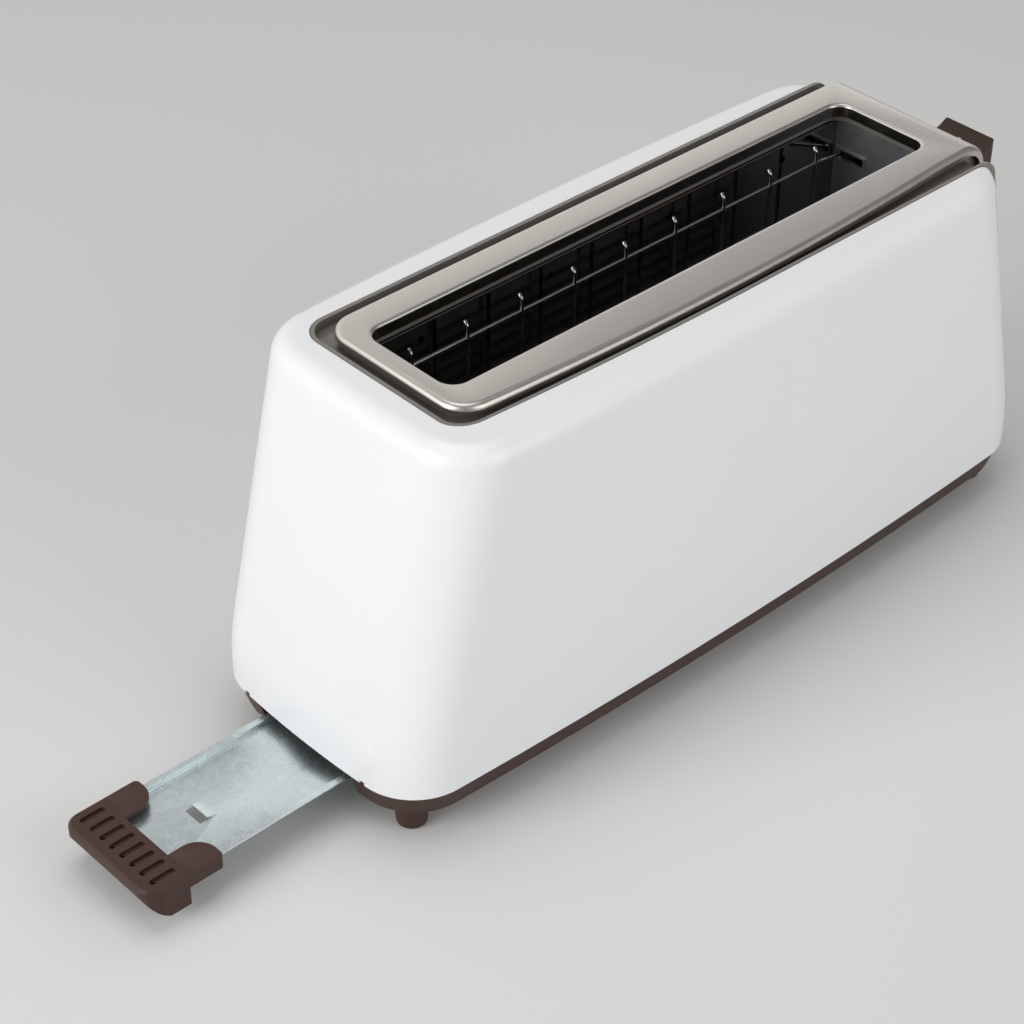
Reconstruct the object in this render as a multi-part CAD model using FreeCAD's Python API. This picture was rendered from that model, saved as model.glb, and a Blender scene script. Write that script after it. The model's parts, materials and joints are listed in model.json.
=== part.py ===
"""Long slot toaster: white moulded housing, steel top strip, drawn-out crumb tray.

Millimetres, +Z up. The model is worked out with x = 0 at the middle of the bread
slot, y = 0 on its centre line and z = 0 on the worktop. +X points to the control
end, -X to the crumb tray end. save() moves everything to the frame that is handed
in, whose origin lies on the worktop under the middle of the stored outline.
"""
import FreeCAD
import Part
import math
import os

Vec = FreeCAD.Vector

# Driving sizes: height, length of the bread slot and half the width at the foot
total_height = 172.0
slot_half_length = 130.0
half_width = 64.5

# Housing
near_end_room = 57.0
far_end_room = 48.0
near_slant = 28.6
far_slant = 31.6
side_slant = 2.0
rim_drop = 3.7
foot_height = 11.0
shell_bottom_z = 23.0
kink_z = 40.0
kink_half_height = 9.0
side_curve_radius = 3200.0
near_end_curve_radius = 520.0
far_end_curve_radius = 1500.0
corner_radius = 26.0
edge_radius = 9.0
shell_wall = 2.5
kink_steps = 4
edge_steps = 5
catch_share = 0.532
catch_width = 2.6
catch_height = 1.4

# Recessed channel and steel strip, with shares of the half width
recess_near_room = 13.8
recess_share = 0.724
recess_corner = 12.0
recess_low_z = 35.0
recess_depth = 3.7
bezel_gap = 0.3
bezel_wall = 1.6
bezel_floor = 2.0
bezel_tongue = 2.2
bezel_tongue_thickness = 1.6
bezel_throat = 1.9
strip_near_room = 8.5
strip_share = 0.597
strip_corner = 12.0
strip_low_z = 40.0
strip_low_corner = 9.0
strip_rise = 3.7
strip_sheet = 0.6
strip_roll = 2.6
strip_rib_inset = 2.8
strip_rib = 1.6

# Bread slot and toasting chamber
slot_share = 0.3675
slot_corner = 7.0
slot_lip_depth = 5.6
slot_lip_roll = 1.6
chamber_end_room = 3.6
chamber_side_room = 3.3
chamber_low_z = 24.0
chamber_gap = 0.4
chamber_sheet = 0.5
chamber_flange = 2.2
peep_hole_radius = 1.5
peep_hole_drop = 8.2
peep_hole_count = 4
end_sheet = 0.8
end_side_room = 5.0
end_low_z = 22.0
end_leg_width = 2.6
guide_drop = 16.2
guide_half_width = 7.2
guide_half_height = 2.2
guide_collar = 0.8
guide_collar_rise = 1.0
heater_side_room = 0.4
heater_sheet = 0.6
heater_low_z = 40.0
heater_drop = 44.2
heater_end_gap = 0.3
ribbon_runs = 10
ribbon_width = 1.6
ribbon_thickness = 0.4
ribbon_margin = 9.0

# Bread guards
guard_wires = 9
guard_near_room = 16.8
guard_far_room = 19.7
guard_share = 0.74
guard_wire_radius = 0.8
guard_bend_drop = 4.4
guard_tip_rise = 2.0
guard_tip_reach = 1.7
guard_top_wire_drop = 9.4
guard_end_crank = 5.4
guard_crank_room = 3.0
guard_pivot_z = 34.0
guard_pivot_radius = 1.3
guard_pivot_clearance = 0.08
guard_pivot_overhang = 1.2
guard_pin_z = 80.0
guard_pin_radius = 1.0
guard_pin_short = 0.1
guard_tilt = 2.5

# Bread rack, carriage and lever
lever_drop = 36.0
rack_low_z = 36.0
rack_share = 0.37
rack_end_room = 3.1
rack_wire_radius = 1.2
rack_cross_radius = 1.0
rack_neck_half = 2.4
rack_neck_height = 6.0
rack_neck_clearance = 0.8
carriage_gap = 1.8
carriage_sheet = 1.2
carriage_side_room = 3.7
carriage_margin = 6.0
ear_reach = 7.6
ear_half_width = 15.5
ear_rise = 2.0
ear_drop = 30.0
cam_clearance = 0.35
cam_overrun = 1.4
rod_radius = 2.5
rod_x_offset = 3.6
rod_y = 12.0
rod_clearance = 0.1
arm_thickness = 1.6
arm_height = 8.0
arm_slot_clearance = 1.8
lever_knob_gap = 5.0
lever_knob_depth = 17.0
lever_knob_width = 27.0
lever_knob_height = 13.0
lever_knob_radius = 4.0
lever_knob_dip = 3.2
lever_knob_fit = 0.15
latch_low_z = 44.0
latch_reach = 14.6
latch_half_width = 8.0
armature_height = 3.0
armature_half_width = 7.0
armature_air_gap = 0.3
near_rod_radius = 2.0
near_rod_offset = 4.6
near_ear_reach = 8.6
near_ear_half_width = 6.0
near_ear_low_z = 26.0
near_ear_rise = 12.0
near_slider_half_width = 5.0
near_slider_height = 8.0
near_slider_gap = 1.2

# Mechanism frame, magnet and spring
frame_share = 0.391
frame_sheet = 1.2
frame_low_z = 14.8
frame_drop = 23.8
frame_web_reach = 8.6
frame_top_reach = 9.8
frame_bottom_reach = 22.0
frame_pad_width = 8.0
frame_pad_start = 4.0
core_back = 6.6
core_depth = 11.0
core_half_width = 9.2
core_leg = 2.4
core_yoke = 4.0
coil_clearance = 0.3
coil_wall = 3.9
coil_side = 1.6
coil_margin = 1.0
spring_mean_radius = 2.4
spring_wire_radius = 0.5
spring_turns = 7
spring_sides = 6
spring_plug_radius = 3.1
spring_plug_height = 1.6
spring_gap = 0.3

# Controls on the slanted end face
control_cut = 20.0
knob_z = 52.6
knob_radius = 11.0
knob_depth = 12.5
knob_gap = 1.0
knob_grip_width = 5.0
knob_grip_height = 6.0
knob_edge = 1.2
knob_cap = 4.0
knob_shaft_radius = 3.0
knob_shaft_fit = 0.05
knob_hole_clearance = 1.2
pot_radius = 8.0
pot_depth = 5.2
button_z = 70.8
button_pitch = 17.0
button_radius = 4.4
button_edge = 0.8
button_proud = 1.5
button_flange = 1.2
button_flange_thickness = 1.0
button_seat_gap = 0.4
button_clearance = 0.3
button_travel = 1.2
button_to_lever = 9.2
switch_body = 6.0
switch_height = 2.3
switch_stem_radius = 1.6
switch_stem_gap = 0.2
board_offset = 11.7
board_thickness = 1.6
board_half_width = 30.0
board_low_z = 40.0
board_high_z = 77.0
board_post_radius = 2.5
board_post_inset = 4.0

# Base, feet and fixings
base_bottom_z = 11.0
base_inset_top = 0.6
base_inset_bottom = 3.8
base_edge = 1.2
base_wall = 2.2
base_floor = 2.0
base_lip_height = 6.0
base_lip_wall = 1.8
base_lip_gap = 0.4
foot_end_room = 17.8
foot_side_room = 21.2
foot_radius = 7.1
foot_radius_low = 6.1
foot_edge = 1.4
screw_end_room = 12.0
screw_side_room = 14.5
screw_radius = 1.5
screw_clearance = 0.3
screw_head_radius = 3.2
screw_head_height = 2.0
screw_length = 26.0
screw_cross = 2.0
boss_radius = 4.2
base_pillar_radius = 5.4
boss_height = 23.0
boss_gap = 0.3
boss_web = 2.4

# Crumb tray, its handle and its runners
tray_drawn = 96.0
tray_share = 0.38
tray_sheet = 0.6
tray_floor_z = 15.8
tray_top_z = 18.8
tray_hem = 2.2
tray_inner_room = 98.0
tray_louvre_room = 44.2
tray_louvre_length = 8.2
tray_louvre_half_width = 4.6
tray_louvre_gash = 3.2
tray_louvre_rise = 1.3
handle_closed_room = 53.5
handle_bar = 18.5
handle_side = 2.4
handle_top_z = 21.6
handle_low_z = 6.4
handle_nose = 4.2
handle_toe = 9.5
handle_belly = 3.2
handle_corner = 7.0
handle_edge = 1.2
handle_wing_step = 1.1
handle_wing_reach = 16.0
handle_wing_straight = 7.5
handle_wing_bridge = 13.9
handle_wing_flat = 4.4
handle_wing_corner = 1.4
handle_wing_drop = 1.2
handle_grip = 9.0
handle_fit = 0.2
handle_wall = 3.0
handle_rib_count = 8
handle_rib_pitch = 6.1
handle_rib_length = 11.0
handle_rib_width = 2.6
handle_rib_depth = 1.3
handle_hole_radius = 1.1
handle_plain_ribs = 2
notch_clearance = 0.6
runner_gap = 0.3
runner_wall = 2.5
runner_lip = 1.7
runner_high_z = 21.0
runner_near_room = 14.0

# Cord inlet and terminal block
inlet_end_room = 28.0
inlet_z = 17.2
inlet_bore_radius = 3.2
inlet_bush_radius = 4.3
inlet_flange_radius = 5.2
inlet_flange = 1.5
inlet_length = 9.0
inlet_pad_radius = 5.7
inlet_pad = 3.2
inlet_clearance = 0.1
terminal_end_room = 50.0
terminal_side_room = 28.0
terminal_length = 22.0
terminal_width = 12.0
terminal_height = 11.0
terminal_screw_radius = 1.6
terminal_wire_radius = 1.4
terminal_well_z = 4.5

# Lengths that follow from the sizes above
near_reach = slot_half_length + near_end_room
far_reach = slot_half_length + far_end_room
near_reach_top = near_reach - near_slant
far_reach_top = far_reach - far_slant
recess_near_x = -slot_half_length - recess_near_room
strip_near_x = -slot_half_length - strip_near_room
chamber_half_length = slot_half_length + chamber_end_room
guard_first_x = guard_near_room - slot_half_length
guard_pitch = (2 * slot_half_length - guard_near_room - guard_far_room) / (guard_wires - 1)
end_outer_x = chamber_half_length + end_sheet
carriage_x = end_outer_x + carriage_gap
carriage_outer_x = carriage_x + carriage_sheet
rod_x = carriage_outer_x + rod_x_offset
near_rod_x = -end_outer_x - near_rod_offset
near_slider_x = -end_outer_x - near_slider_gap
foot_x_near = foot_end_room - near_reach
foot_x_far = far_reach - foot_end_room
screw_x = slot_half_length - screw_end_room
handle_closed_x = -slot_half_length - handle_closed_room
handle_outer_x = handle_closed_x - tray_drawn
tray_inner_x = slot_half_length - tray_inner_room
tray_louvre_x = handle_outer_x + tray_louvre_room
runner_near_x = -slot_half_length - runner_near_room
runner_far_x = slot_half_length
inlet_x = far_reach - inlet_end_room
terminal_x = far_reach - terminal_end_room

# Widths that follow
recess_half_width = half_width * recess_share
strip_half_width = half_width * strip_share
slot_half_width = half_width * slot_share
chamber_half_width = slot_half_width + chamber_side_room
end_half_width = chamber_half_width + end_side_room
heater_y = slot_half_width + heater_side_room
guard_y = slot_half_width * guard_share
rack_half_width = guard_y * rack_share
frame_half_width = half_width * frame_share
carriage_half_width = frame_half_width - carriage_side_room
spring_y = frame_half_width - frame_sheet - spring_plug_radius - spring_gap
catch_y = half_width * catch_share
tray_half_width = half_width * tray_share
handle_half_width = tray_half_width + handle_side
foot_y = half_width - foot_side_room
screw_y = half_width - screw_side_room
terminal_y = half_width - terminal_side_room

# Heights that follow
rim_z = total_height - rim_drop
chamber_top_z = rim_z - recess_depth - bezel_floor - chamber_gap
guide_z = chamber_top_z - guide_drop
peep_hole_z = chamber_top_z - peep_hole_drop
heater_high_z = chamber_top_z - heater_drop
guard_bend_z = chamber_top_z - guard_bend_drop
guard_top_wire_z = chamber_top_z - guard_top_wire_drop
arm_low_z = total_height - lever_drop
lever_travel = arm_low_z - button_z - button_to_lever
rack_z = rack_low_z + lever_travel
latch_z = latch_low_z + lever_travel
carriage_low_z = guard_pin_z - carriage_margin
carriage_high_z = guard_pin_z + lever_travel + carriage_margin
ear_top_z = arm_low_z + ear_rise
ear_low_z = arm_low_z - ear_drop
near_ear_high_z = rack_z + near_ear_rise
frame_high_z = total_height - frame_drop
base_floor_z = base_bottom_z + base_floor
boss_low_z = shell_bottom_z + base_lip_height + boss_gap
boss_top_z = boss_low_z + boss_height
screw_head_z = base_bottom_z + screw_head_height
screw_top_z = screw_head_z + screw_length
core_top_z = latch_low_z - armature_height - armature_air_gap
face_angle = math.atan(far_slant / (rim_z - kink_z))
face_flat = 0.5
guard_swing = (guard_pin_z - guard_pivot_z) * math.sin(math.radians(guard_tilt))
button_back = -recess_depth - bezel_floor - button_seat_gap - button_flange_thickness
switch_stem_top = button_back - button_travel - switch_stem_gap
knob_back = strip_rise + knob_gap
lowest_face_x = far_reach_top - face_flat + (rim_z - arm_low_z + lever_travel) * math.tan(face_angle)
lever_knob_x = lowest_face_x + strip_rise * math.cos(face_angle) + lever_knob_gap
beyond = 4 * (near_reach + total_height)

X_AXIS = Vec(1, 0, 0)
Y_AXIS = Vec(0, 1, 0)
Z_AXIS = Vec(0, 0, 1)


# Small helpers
def box(x0, x1, y0, y1, z0, z1):
    return Part.makeBox(x1 - x0, y1 - y0, z1 - z0, Vec(x0, y0, z0))


def post(radius, x, y, z0, z1):
    return Part.makeCylinder(radius, z1 - z0, Vec(x, y, z0))


def rod(radius, start, end):
    way = end.sub(start)
    return Part.makeCylinder(radius, way.Length, start, way)


def bent_rod(radius, points):
    """Round rod along straight stretches with mitred corners."""
    sweep = Part.BRepOffsetAPI.MakePipeShell(Part.makePolygon(points))
    sweep.setTransitionMode(1)
    sweep.add(Part.Wire(Part.makeCircle(radius, points[0], points[1].sub(points[0]))))
    sweep.build()
    sweep.makeSolid()
    return sweep.shape()


def fuse(shapes):
    return shapes[0].multiFuse(shapes[1:]).removeSplitter()


def arc(a, b, c):
    return Part.Arc(a, b, c).toShape()


def line(a, b):
    return Part.LineSegment(a, b).toShape()


def prism(points, way):
    closed = points + [points[0]]
    return Part.Face(Part.makePolygon(closed)).extrude(way)


def mirrored(shape, side):
    return shape if side > 0 else shape.mirror(Vec(0, 0, 0), Y_AXIS)


def edges_where(shape, test):
    """Edges whose middle point passes the test."""
    found = []
    for edge in shape.Edges:
        middle = edge.valueAt((edge.FirstParameter + edge.LastParameter) / 2)
        if test(middle):
            found.append(edge)
    return found


def upright_edges(shape):
    return [e for e in shape.Edges if abs(e.tangentAt(e.FirstParameter).z) > 0.9]


def rounded_block(x0, x1, half, radius, z0, z1):
    """Upright prism with a rounded rectangle for its plan."""
    block = box(x0, x1, -half, half, z0, z1)
    return block.makeFillet(radius, upright_edges(block))


# Slanted end face: a place on it is given by its height, y and depth d,
# with d = 0 on the line of the housing's rim and d > 0 outwards
def face_normal():
    return Vec(math.cos(face_angle), 0, math.sin(face_angle))


def face_point(z, d=0.0):
    x = far_reach_top - face_flat + (rim_z - z) * math.tan(face_angle)
    return Vec(x, 0, z).add(face_normal() * d)


def on_face(shape, z):
    """Put a shape made about local +X on the end face at height z."""
    turn = FreeCAD.Rotation(Y_AXIS, -math.degrees(face_angle))
    shape.Placement = FreeCAD.Placement(face_point(z), turn)
    return shape


def face_disc(radius, z, y, d0, d1):
    disc = Part.makeCylinder(radius, d1 - d0, Vec(d0, y, 0), X_AXIS)
    return on_face(disc, z)


def path_points(d, near_x, low_z):
    """Line over the top, round the bend and down the end face, at depth d."""
    turn = math.pi / 2 - face_angle
    radius = edge_radius + d
    corner = Vec(face_point(rim_z).x + d * math.tan(turn / 2), 0, rim_z + d)
    tangent = radius * math.tan(turn / 2)
    down = Vec(math.sin(face_angle), 0, -math.cos(face_angle))
    start = corner.sub(X_AXIS * tangent)
    end = corner.add(down * tangent)
    centre = start.sub(Z_AXIS * radius)
    half = (math.pi / 2 + face_angle) / 2
    middle = centre.add(Vec(math.cos(half), 0, math.sin(half)) * radius)
    near = Vec(near_x, 0, rim_z + d)
    low = face_point(low_z, d)
    return [near, start, middle, end, low]


def outline_prism(near_x, half, near_corner, low_z, low_corner):
    """All that lies inside the strip's outline, in plan and on the end face."""
    plan = box(near_x, beyond, -half, half, -beyond, beyond)
    near_edges = edges_where(plan, lambda p: abs(p.x - near_x) < 1e-6 and abs(abs(p.y) - half) < 1e-6)
    plan = plan.makeFillet(near_corner, near_edges)
    slab = box(-beyond, beyond, -half, half, 0, beyond)
    low_edges = edges_where(slab, lambda p: abs(p.z) < 1e-6 and abs(abs(p.y) - half) < 1e-6)
    slab = slab.makeFillet(low_corner, low_edges)
    return plan.common(on_face(slab, low_z))


def strip_solid(d0, d1, near_x, half, near_corner, low_z, low_corner):
    """Band over the top and down the end face, between depths d0 and d1."""
    outer = path_points(d1, near_x, low_z)
    inner = path_points(d0, near_x, low_z)
    edges = [
        line(outer[0], outer[1]),
        arc(outer[1], outer[2], outer[3]),
        line(outer[3], outer[4]),
        line(outer[4], inner[4]),
        line(inner[4], inner[3]),
        arc(inner[3], inner[2], inner[1]),
        line(inner[1], inner[0]),
        line(inner[0], outer[0]),
    ]
    face = Part.Face(Part.Wire(edges))
    face.translate(Vec(0, -half, 0))
    band = face.extrude(Vec(0, 2 * half, 0))
    return band.common(outline_prism(near_x, half, near_corner, low_z, low_corner))


def inset_strip(d0, d1, inset):
    """Band with the steel strip's outline drawn in by an inset."""
    return strip_solid(d0, d1, strip_near_x + inset, strip_half_width - inset, strip_corner - inset,
                       strip_low_z + inset, strip_low_corner - inset)


# Plan of the housing and base: four long arcs and four corner arcs
def circle_meeting(c1, r1, c2, r2, up, right):
    """Meeting point of two circles, on the asked side."""
    between = c2.sub(c1)
    gap = between.Length
    along = (r1 * r1 - r2 * r2 + gap * gap) / (2 * gap)
    aside = math.sqrt(r1 * r1 - along * along)
    unit = between * (1 / gap)
    normal = Vec(-unit.y, unit.x, 0)
    points = [c1.add(unit * along).add(normal * s * aside) for s in (1, -1)]
    return max(points, key=lambda p: p.x * right + p.y * up)


def plan_wire(near, far, half, corner, z):
    middle_x = (far - near) / 2
    radii = {1: far_end_curve_radius, -1: near_end_curve_radius}
    centres = {1: Vec(far - radii[1], 0, z), -1: Vec(radii[-1] - near, 0, z)}
    corners = {}
    for sx in (1, -1):
        for sy in (1, -1):
            side_centre = Vec(middle_x, sy * (half - side_curve_radius), z)
            c = circle_meeting(side_centre, side_curve_radius - corner, centres[sx], radii[sx] - corner, sy, sx)
            on_side = side_centre.add(c.sub(side_centre).normalize() * side_curve_radius)
            on_end = centres[sx].add(c.sub(centres[sx]).normalize() * radii[sx])
            bulge = on_side.add(on_end) * 0.5
            on_arc = c.add(bulge.sub(c).normalize() * corner)
            corners[(sx, sy)] = (on_side, on_arc, on_end)
    edges = []
    for sy in (1, -1):
        edges.append(arc(corners[(-1, sy)][0], Vec(middle_x, sy * half, z), corners[(1, sy)][0]))
    edges.append(arc(corners[(1, 1)][2], Vec(far, 0, z), corners[(1, -1)][2]))
    edges.append(arc(corners[(-1, 1)][2], Vec(-near, 0, z), corners[(-1, -1)][2]))
    for key in corners:
        edges.append(arc(*corners[key]))
    return Part.Wire(Part.__sortEdges__(edges))


def side_bow(x):
    """How far the long side's plan curve falls back at x."""
    from_middle = x - (far_reach - near_reach) / 2
    return side_curve_radius - math.sqrt(side_curve_radius ** 2 - from_middle ** 2)


# Form of the housing as a stack of lofts
def leaning_wall(reach, foot_z, slant, z, inset):
    """Place of a leaning wall at a height, with the rounding under the rim."""
    slope = math.atan(slant / (rim_z - foot_z))
    radius = edge_radius - inset
    centre_z = rim_z - inset - radius
    if z <= centre_z + radius * math.sin(slope):
        return reach - inset - (z - foot_z) * math.tan(slope)
    corner = reach - inset - (rim_z - inset - foot_z) * math.tan(slope)
    centre = corner - radius * math.tan(math.pi / 4 - slope / 2)
    return centre + math.sqrt(max(0.0, radius ** 2 - (z - centre_z) ** 2))


def end_wall(reach, slant, z, inset):
    """Place of an end wall: upright below, rounded at the kink, leaning above."""
    slope = math.atan(slant / (rim_z - kink_z))
    low = kink_z - kink_half_height
    if z <= low:
        return reach - inset
    if z < kink_z + kink_half_height * math.cos(slope):
        radius = kink_half_height / math.tan(slope / 2)
        return reach - inset - radius + math.sqrt(radius ** 2 - (z - low) ** 2)
    return leaning_wall(reach, kink_z, slant, z, inset)


def housing_wire(z, inset):
    radius = edge_radius - inset
    above = max(0.0, z - rim_z + inset + radius)
    corner = corner_radius - edge_radius + math.sqrt(max(0.0, radius ** 2 - above ** 2))
    near = end_wall(near_reach, near_slant, z, inset)
    far = end_wall(far_reach, far_slant, z, inset)
    half = leaning_wall(half_width, shell_bottom_z, side_slant, z, inset)
    return plan_wire(near, far, half, corner, z)


def housing_solid(inset, low_z, kinks, edges, flat):
    """The housing's form drawn in by an inset, its bends in flat steps or smooth."""
    kink_low = kink_z - kink_half_height
    kink_heights = [kink_low + 2 * kink_half_height * k / kinks for k in range(kinks + 1)]
    radius = edge_radius - inset
    edge_low = rim_z - inset - radius
    edge_heights = [edge_low + radius * math.sin(math.pi / 2 * k / edges) for k in range(edges + 1)]
    parts = []
    for heights, straight in (([low_z, kink_low], True), (kink_heights, flat),
                              ([kink_heights[-1], edge_low], True), (edge_heights, flat)):
        parts.append(Part.makeLoft([housing_wire(z, inset) for z in heights], True, straight))
    return parts[0].multiFuse(parts[1:])


# Housing parts
def screw_places():
    return [(x, y) for x in (-screw_x, screw_x) for y in (-screw_y, screw_y)]


def make_shell():
    outer = housing_solid(0.0, shell_bottom_z, kink_steps, edge_steps, False)
    shell = outer.cut(housing_solid(shell_wall, shell_bottom_z - shell_wall, 2, 3, True))
    opening = outline_prism(recess_near_x, recess_half_width, recess_corner, recess_low_z, recess_corner)
    top_cut = opening.common(box(-beyond, beyond, -beyond, beyond, rim_z - edge_radius, beyond))
    end_cut = opening.common(box(carriage_x, beyond, -beyond, beyond, 0, beyond))
    shell = shell.cut(top_cut).cut(end_cut)
    adds = []
    for x, y in screw_places():
        adds.append(post(boss_radius, x, y, boss_low_z, boss_top_z))
        outside = math.copysign(half_width, y)
        y0, y1 = sorted((y, outside))
        adds.append(box(x - boss_web / 2, x + boss_web / 2, y0, y1, boss_low_z, boss_top_z).common(outer))
    shell = fuse([shell] + adds)
    cuts = [post(screw_radius, x, y, 0, screw_top_z + 1) for x, y in screw_places()]
    for y in (-catch_y, catch_y):
        half = catch_width / 2
        cuts.append(box(-near_reach - shell_wall, edge_radius - near_reach, y - half, y + half,
                        0, shell_bottom_z + catch_height))
    return shell.cut(fuse(cuts))


def control_holes():
    """Lever slot, button holes and knob hole, right through the end face."""
    half = arm_thickness / 2 + arm_slot_clearance
    low = arm_low_z - lever_travel - arm_slot_clearance
    high = arm_low_z + arm_height + arm_slot_clearance
    holes = [box(carriage_outer_x, beyond, -half, half, low, high),
             face_disc(knob_shaft_radius + knob_hole_clearance, knob_z, 0, -control_cut, control_cut)]
    for k in (-1, 0, 1):
        y = k * button_pitch
        holes.append(face_disc(button_radius + button_clearance, button_z, y, -control_cut, control_cut))
    return fuse(holes)


def make_top_bezel():
    near = recess_near_x + bezel_gap
    half = recess_half_width - bezel_gap
    low = recess_low_z + bezel_gap
    corner = recess_corner - bezel_gap
    floor_d = -recess_depth - bezel_floor
    body = strip_solid(floor_d, 0.0, near, half, corner, low, corner)
    inner = corner - bezel_wall
    hollow = strip_solid(-recess_depth, bezel_wall, near + bezel_wall, half - bezel_wall, inner,
                         low + bezel_wall, inner)
    ridge_top = strip_rise - strip_sheet
    ridge = inset_strip(floor_d + bezel_floor / 2, ridge_top, strip_rib_inset)
    core = inset_strip(-recess_depth, ridge_top + strip_rib, strip_rib_inset + strip_rib)
    tongue = outline_prism(near - bezel_tongue, half + bezel_tongue, corner + bezel_tongue, low, corner)
    tongue = tongue.cut(outline_prism(near + bezel_wall / 2, half - bezel_wall / 2, corner - bezel_wall / 2,
                                      low, corner))
    tongue_top = rim_z - shell_wall
    tongue_end = far_reach_top - corner_radius
    tongue = tongue.common(box(-beyond, tongue_end, -beyond, beyond,
                               tongue_top - bezel_tongue_thickness, tongue_top))
    bezel = fuse([body.cut(hollow), ridge.cut(core), tongue])
    throat = strip_sheet + bezel_throat
    reach = slot_half_length + throat
    bezel = bezel.cut(rounded_block(-reach, reach, slot_half_width + throat, slot_corner,
                                    chamber_top_z, total_height))
    posts = []
    for z in (board_low_z + board_post_inset, board_high_z - board_post_inset):
        for y in (board_post_inset - board_half_width, board_half_width - board_post_inset):
            posts.append(face_disc(board_post_radius, z, y, -board_offset, floor_d + bezel_floor / 2))
    bezel = fuse([bezel] + posts)
    return bezel.cut(control_holes())


def slot_block(grow, z0, z1):
    """The bread slot's opening, wider by a margin all round."""
    reach = slot_half_length + grow
    return rounded_block(-reach, reach, slot_half_width + grow, slot_corner + grow, z0, z1)


def strip_edges(solid, d, inset):
    """The strip's outer top edges and its slot's top edges."""
    half = strip_half_width - inset
    bend_centre = path_points(d, 0, strip_low_z)[1].sub(Z_AXIS * (edge_radius + d))

    def off_face(p):
        return p.sub(face_point(rim_z)).dot(face_normal())

    def on_skin(p):
        on_bend = abs(Vec(p.x, 0, p.z).sub(bend_centre).Length - edge_radius - d) < 0.01
        return p.z > rim_z + d - 0.01 or abs(off_face(p) - d) < 0.01 or on_bend

    def in_slot(p):
        return abs(p.y) < slot_half_width + 2 and abs(p.x) < slot_half_length + 2

    def outside(p):
        up_face = p.sub(face_point(strip_low_z)).dot(Vec(-face_normal().z, 0, face_normal().x))
        side = abs(abs(p.y) - half) < 0.05 and on_skin(p)
        near_end = p.x < strip_near_x + strip_corner and abs(p.z - rim_z - d) < 0.01
        low_end = abs(up_face) < strip_low_corner and abs(off_face(p) - d) < 0.01
        return not in_slot(p) and (side or near_end or low_end)

    rim = edges_where(solid, outside)
    slot = edges_where(solid, lambda p: in_slot(p) and abs(p.z - rim_z - d) < 0.01)
    return rim, slot


def make_slot_trim():
    """Steel strip with rolled edges and a lip turned down into the bread slot."""
    lip_low = total_height - slot_lip_depth
    slot = slot_block(0.0, lip_low, total_height)
    outer = inset_strip(0.0, strip_rise, 0.0).cut(slot)
    outer = outer.makeFillet(strip_roll, strip_edges(outer, strip_rise, 0.0)[0])
    outer = outer.makeFillet(slot_lip_roll, strip_edges(outer, strip_rise, 0.0)[1])
    t = strip_sheet
    inner = inset_strip(-t, strip_rise - t, t).cut(slot_block(t, lip_low, total_height))
    inner = inner.makeChamfer(2 * t, strip_edges(inner, strip_rise - t, t)[0])
    inner = inner.makeChamfer(t, strip_edges(inner, strip_rise - t, t)[1])
    lip = slot_block(t, lip_low, rim_z + t).cut(slot)
    trim = fuse([outer.cut(inner), lip])
    return trim.cut(control_holes())


def base_wire(z, inset, corner):
    return plan_wire(near_reach - inset, far_reach - inset, half_width - inset, corner, z)


def make_base():
    """Moulded tray that closes the housing below, with a lip inside the shell."""
    foot_corner = corner_radius - base_edge
    skirt = Part.makeLoft([base_wire(base_bottom_z, base_inset_bottom + base_edge, foot_corner),
                           base_wire(base_bottom_z + base_edge, base_inset_bottom, foot_corner),
                           base_wire(shell_bottom_z, base_inset_top, corner_radius)], True, True)
    lip_inset = shell_wall + base_lip_gap
    lip_low = shell_bottom_z - base_floor
    lip_face = Part.Face(base_wire(lip_low, lip_inset, corner_radius))
    lip = lip_face.extrude(Z_AXIS * (base_lip_height + base_floor))
    hollow_low = base_wire(base_floor_z, base_inset_bottom + base_wall, foot_corner)
    hollow_high = base_wire(lip_low, lip_inset + base_lip_wall, corner_radius)
    hollow = Part.makeLoft([hollow_low, hollow_high], True, True)
    throat = Part.Face(hollow_high).extrude(Z_AXIS * total_height)
    base = fuse([skirt, lip]).cut(fuse([hollow, throat]))
    notch_half = handle_half_width + notch_clearance
    notch_x = handle_closed_x + handle_bar + handle_wing_reach + notch_clearance
    base = base.cut(box(-beyond, notch_x, -notch_half, notch_half, 0, shell_bottom_z))
    adds = [post(base_pillar_radius, x, y, base_floor_z, boss_low_z - boss_gap) for x, y in screw_places()]
    for y in (-frame_half_width, frame_half_width - frame_pad_width):
        adds.append(box(end_outer_x + frame_pad_start, end_outer_x + frame_bottom_reach, y,
                        y + frame_pad_width, base_floor_z, frame_low_z))
    adds.append(inlet_cylinder(inlet_pad_radius, -base_wall - 1, inlet_pad))
    base = fuse([base] + adds)
    cuts = []
    for x, y in screw_places():
        cuts.append(post(screw_radius + screw_clearance, x, y, 0, total_height))
        cuts.append(post(screw_head_radius + screw_clearance, x, y, 0, screw_head_z))
    cuts.append(inlet_cylinder(inlet_bush_radius + inlet_clearance, -terminal_width, terminal_width))
    return base.cut(fuse(cuts))


def make_foot(x, y):
    low = Part.makeCone(foot_radius_low - foot_edge, foot_radius_low, foot_edge, Vec(x, y, 0))
    high = Part.makeCone(foot_radius_low, foot_radius, foot_height - foot_edge, Vec(x, y, foot_edge))
    return low.fuse(high)


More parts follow.
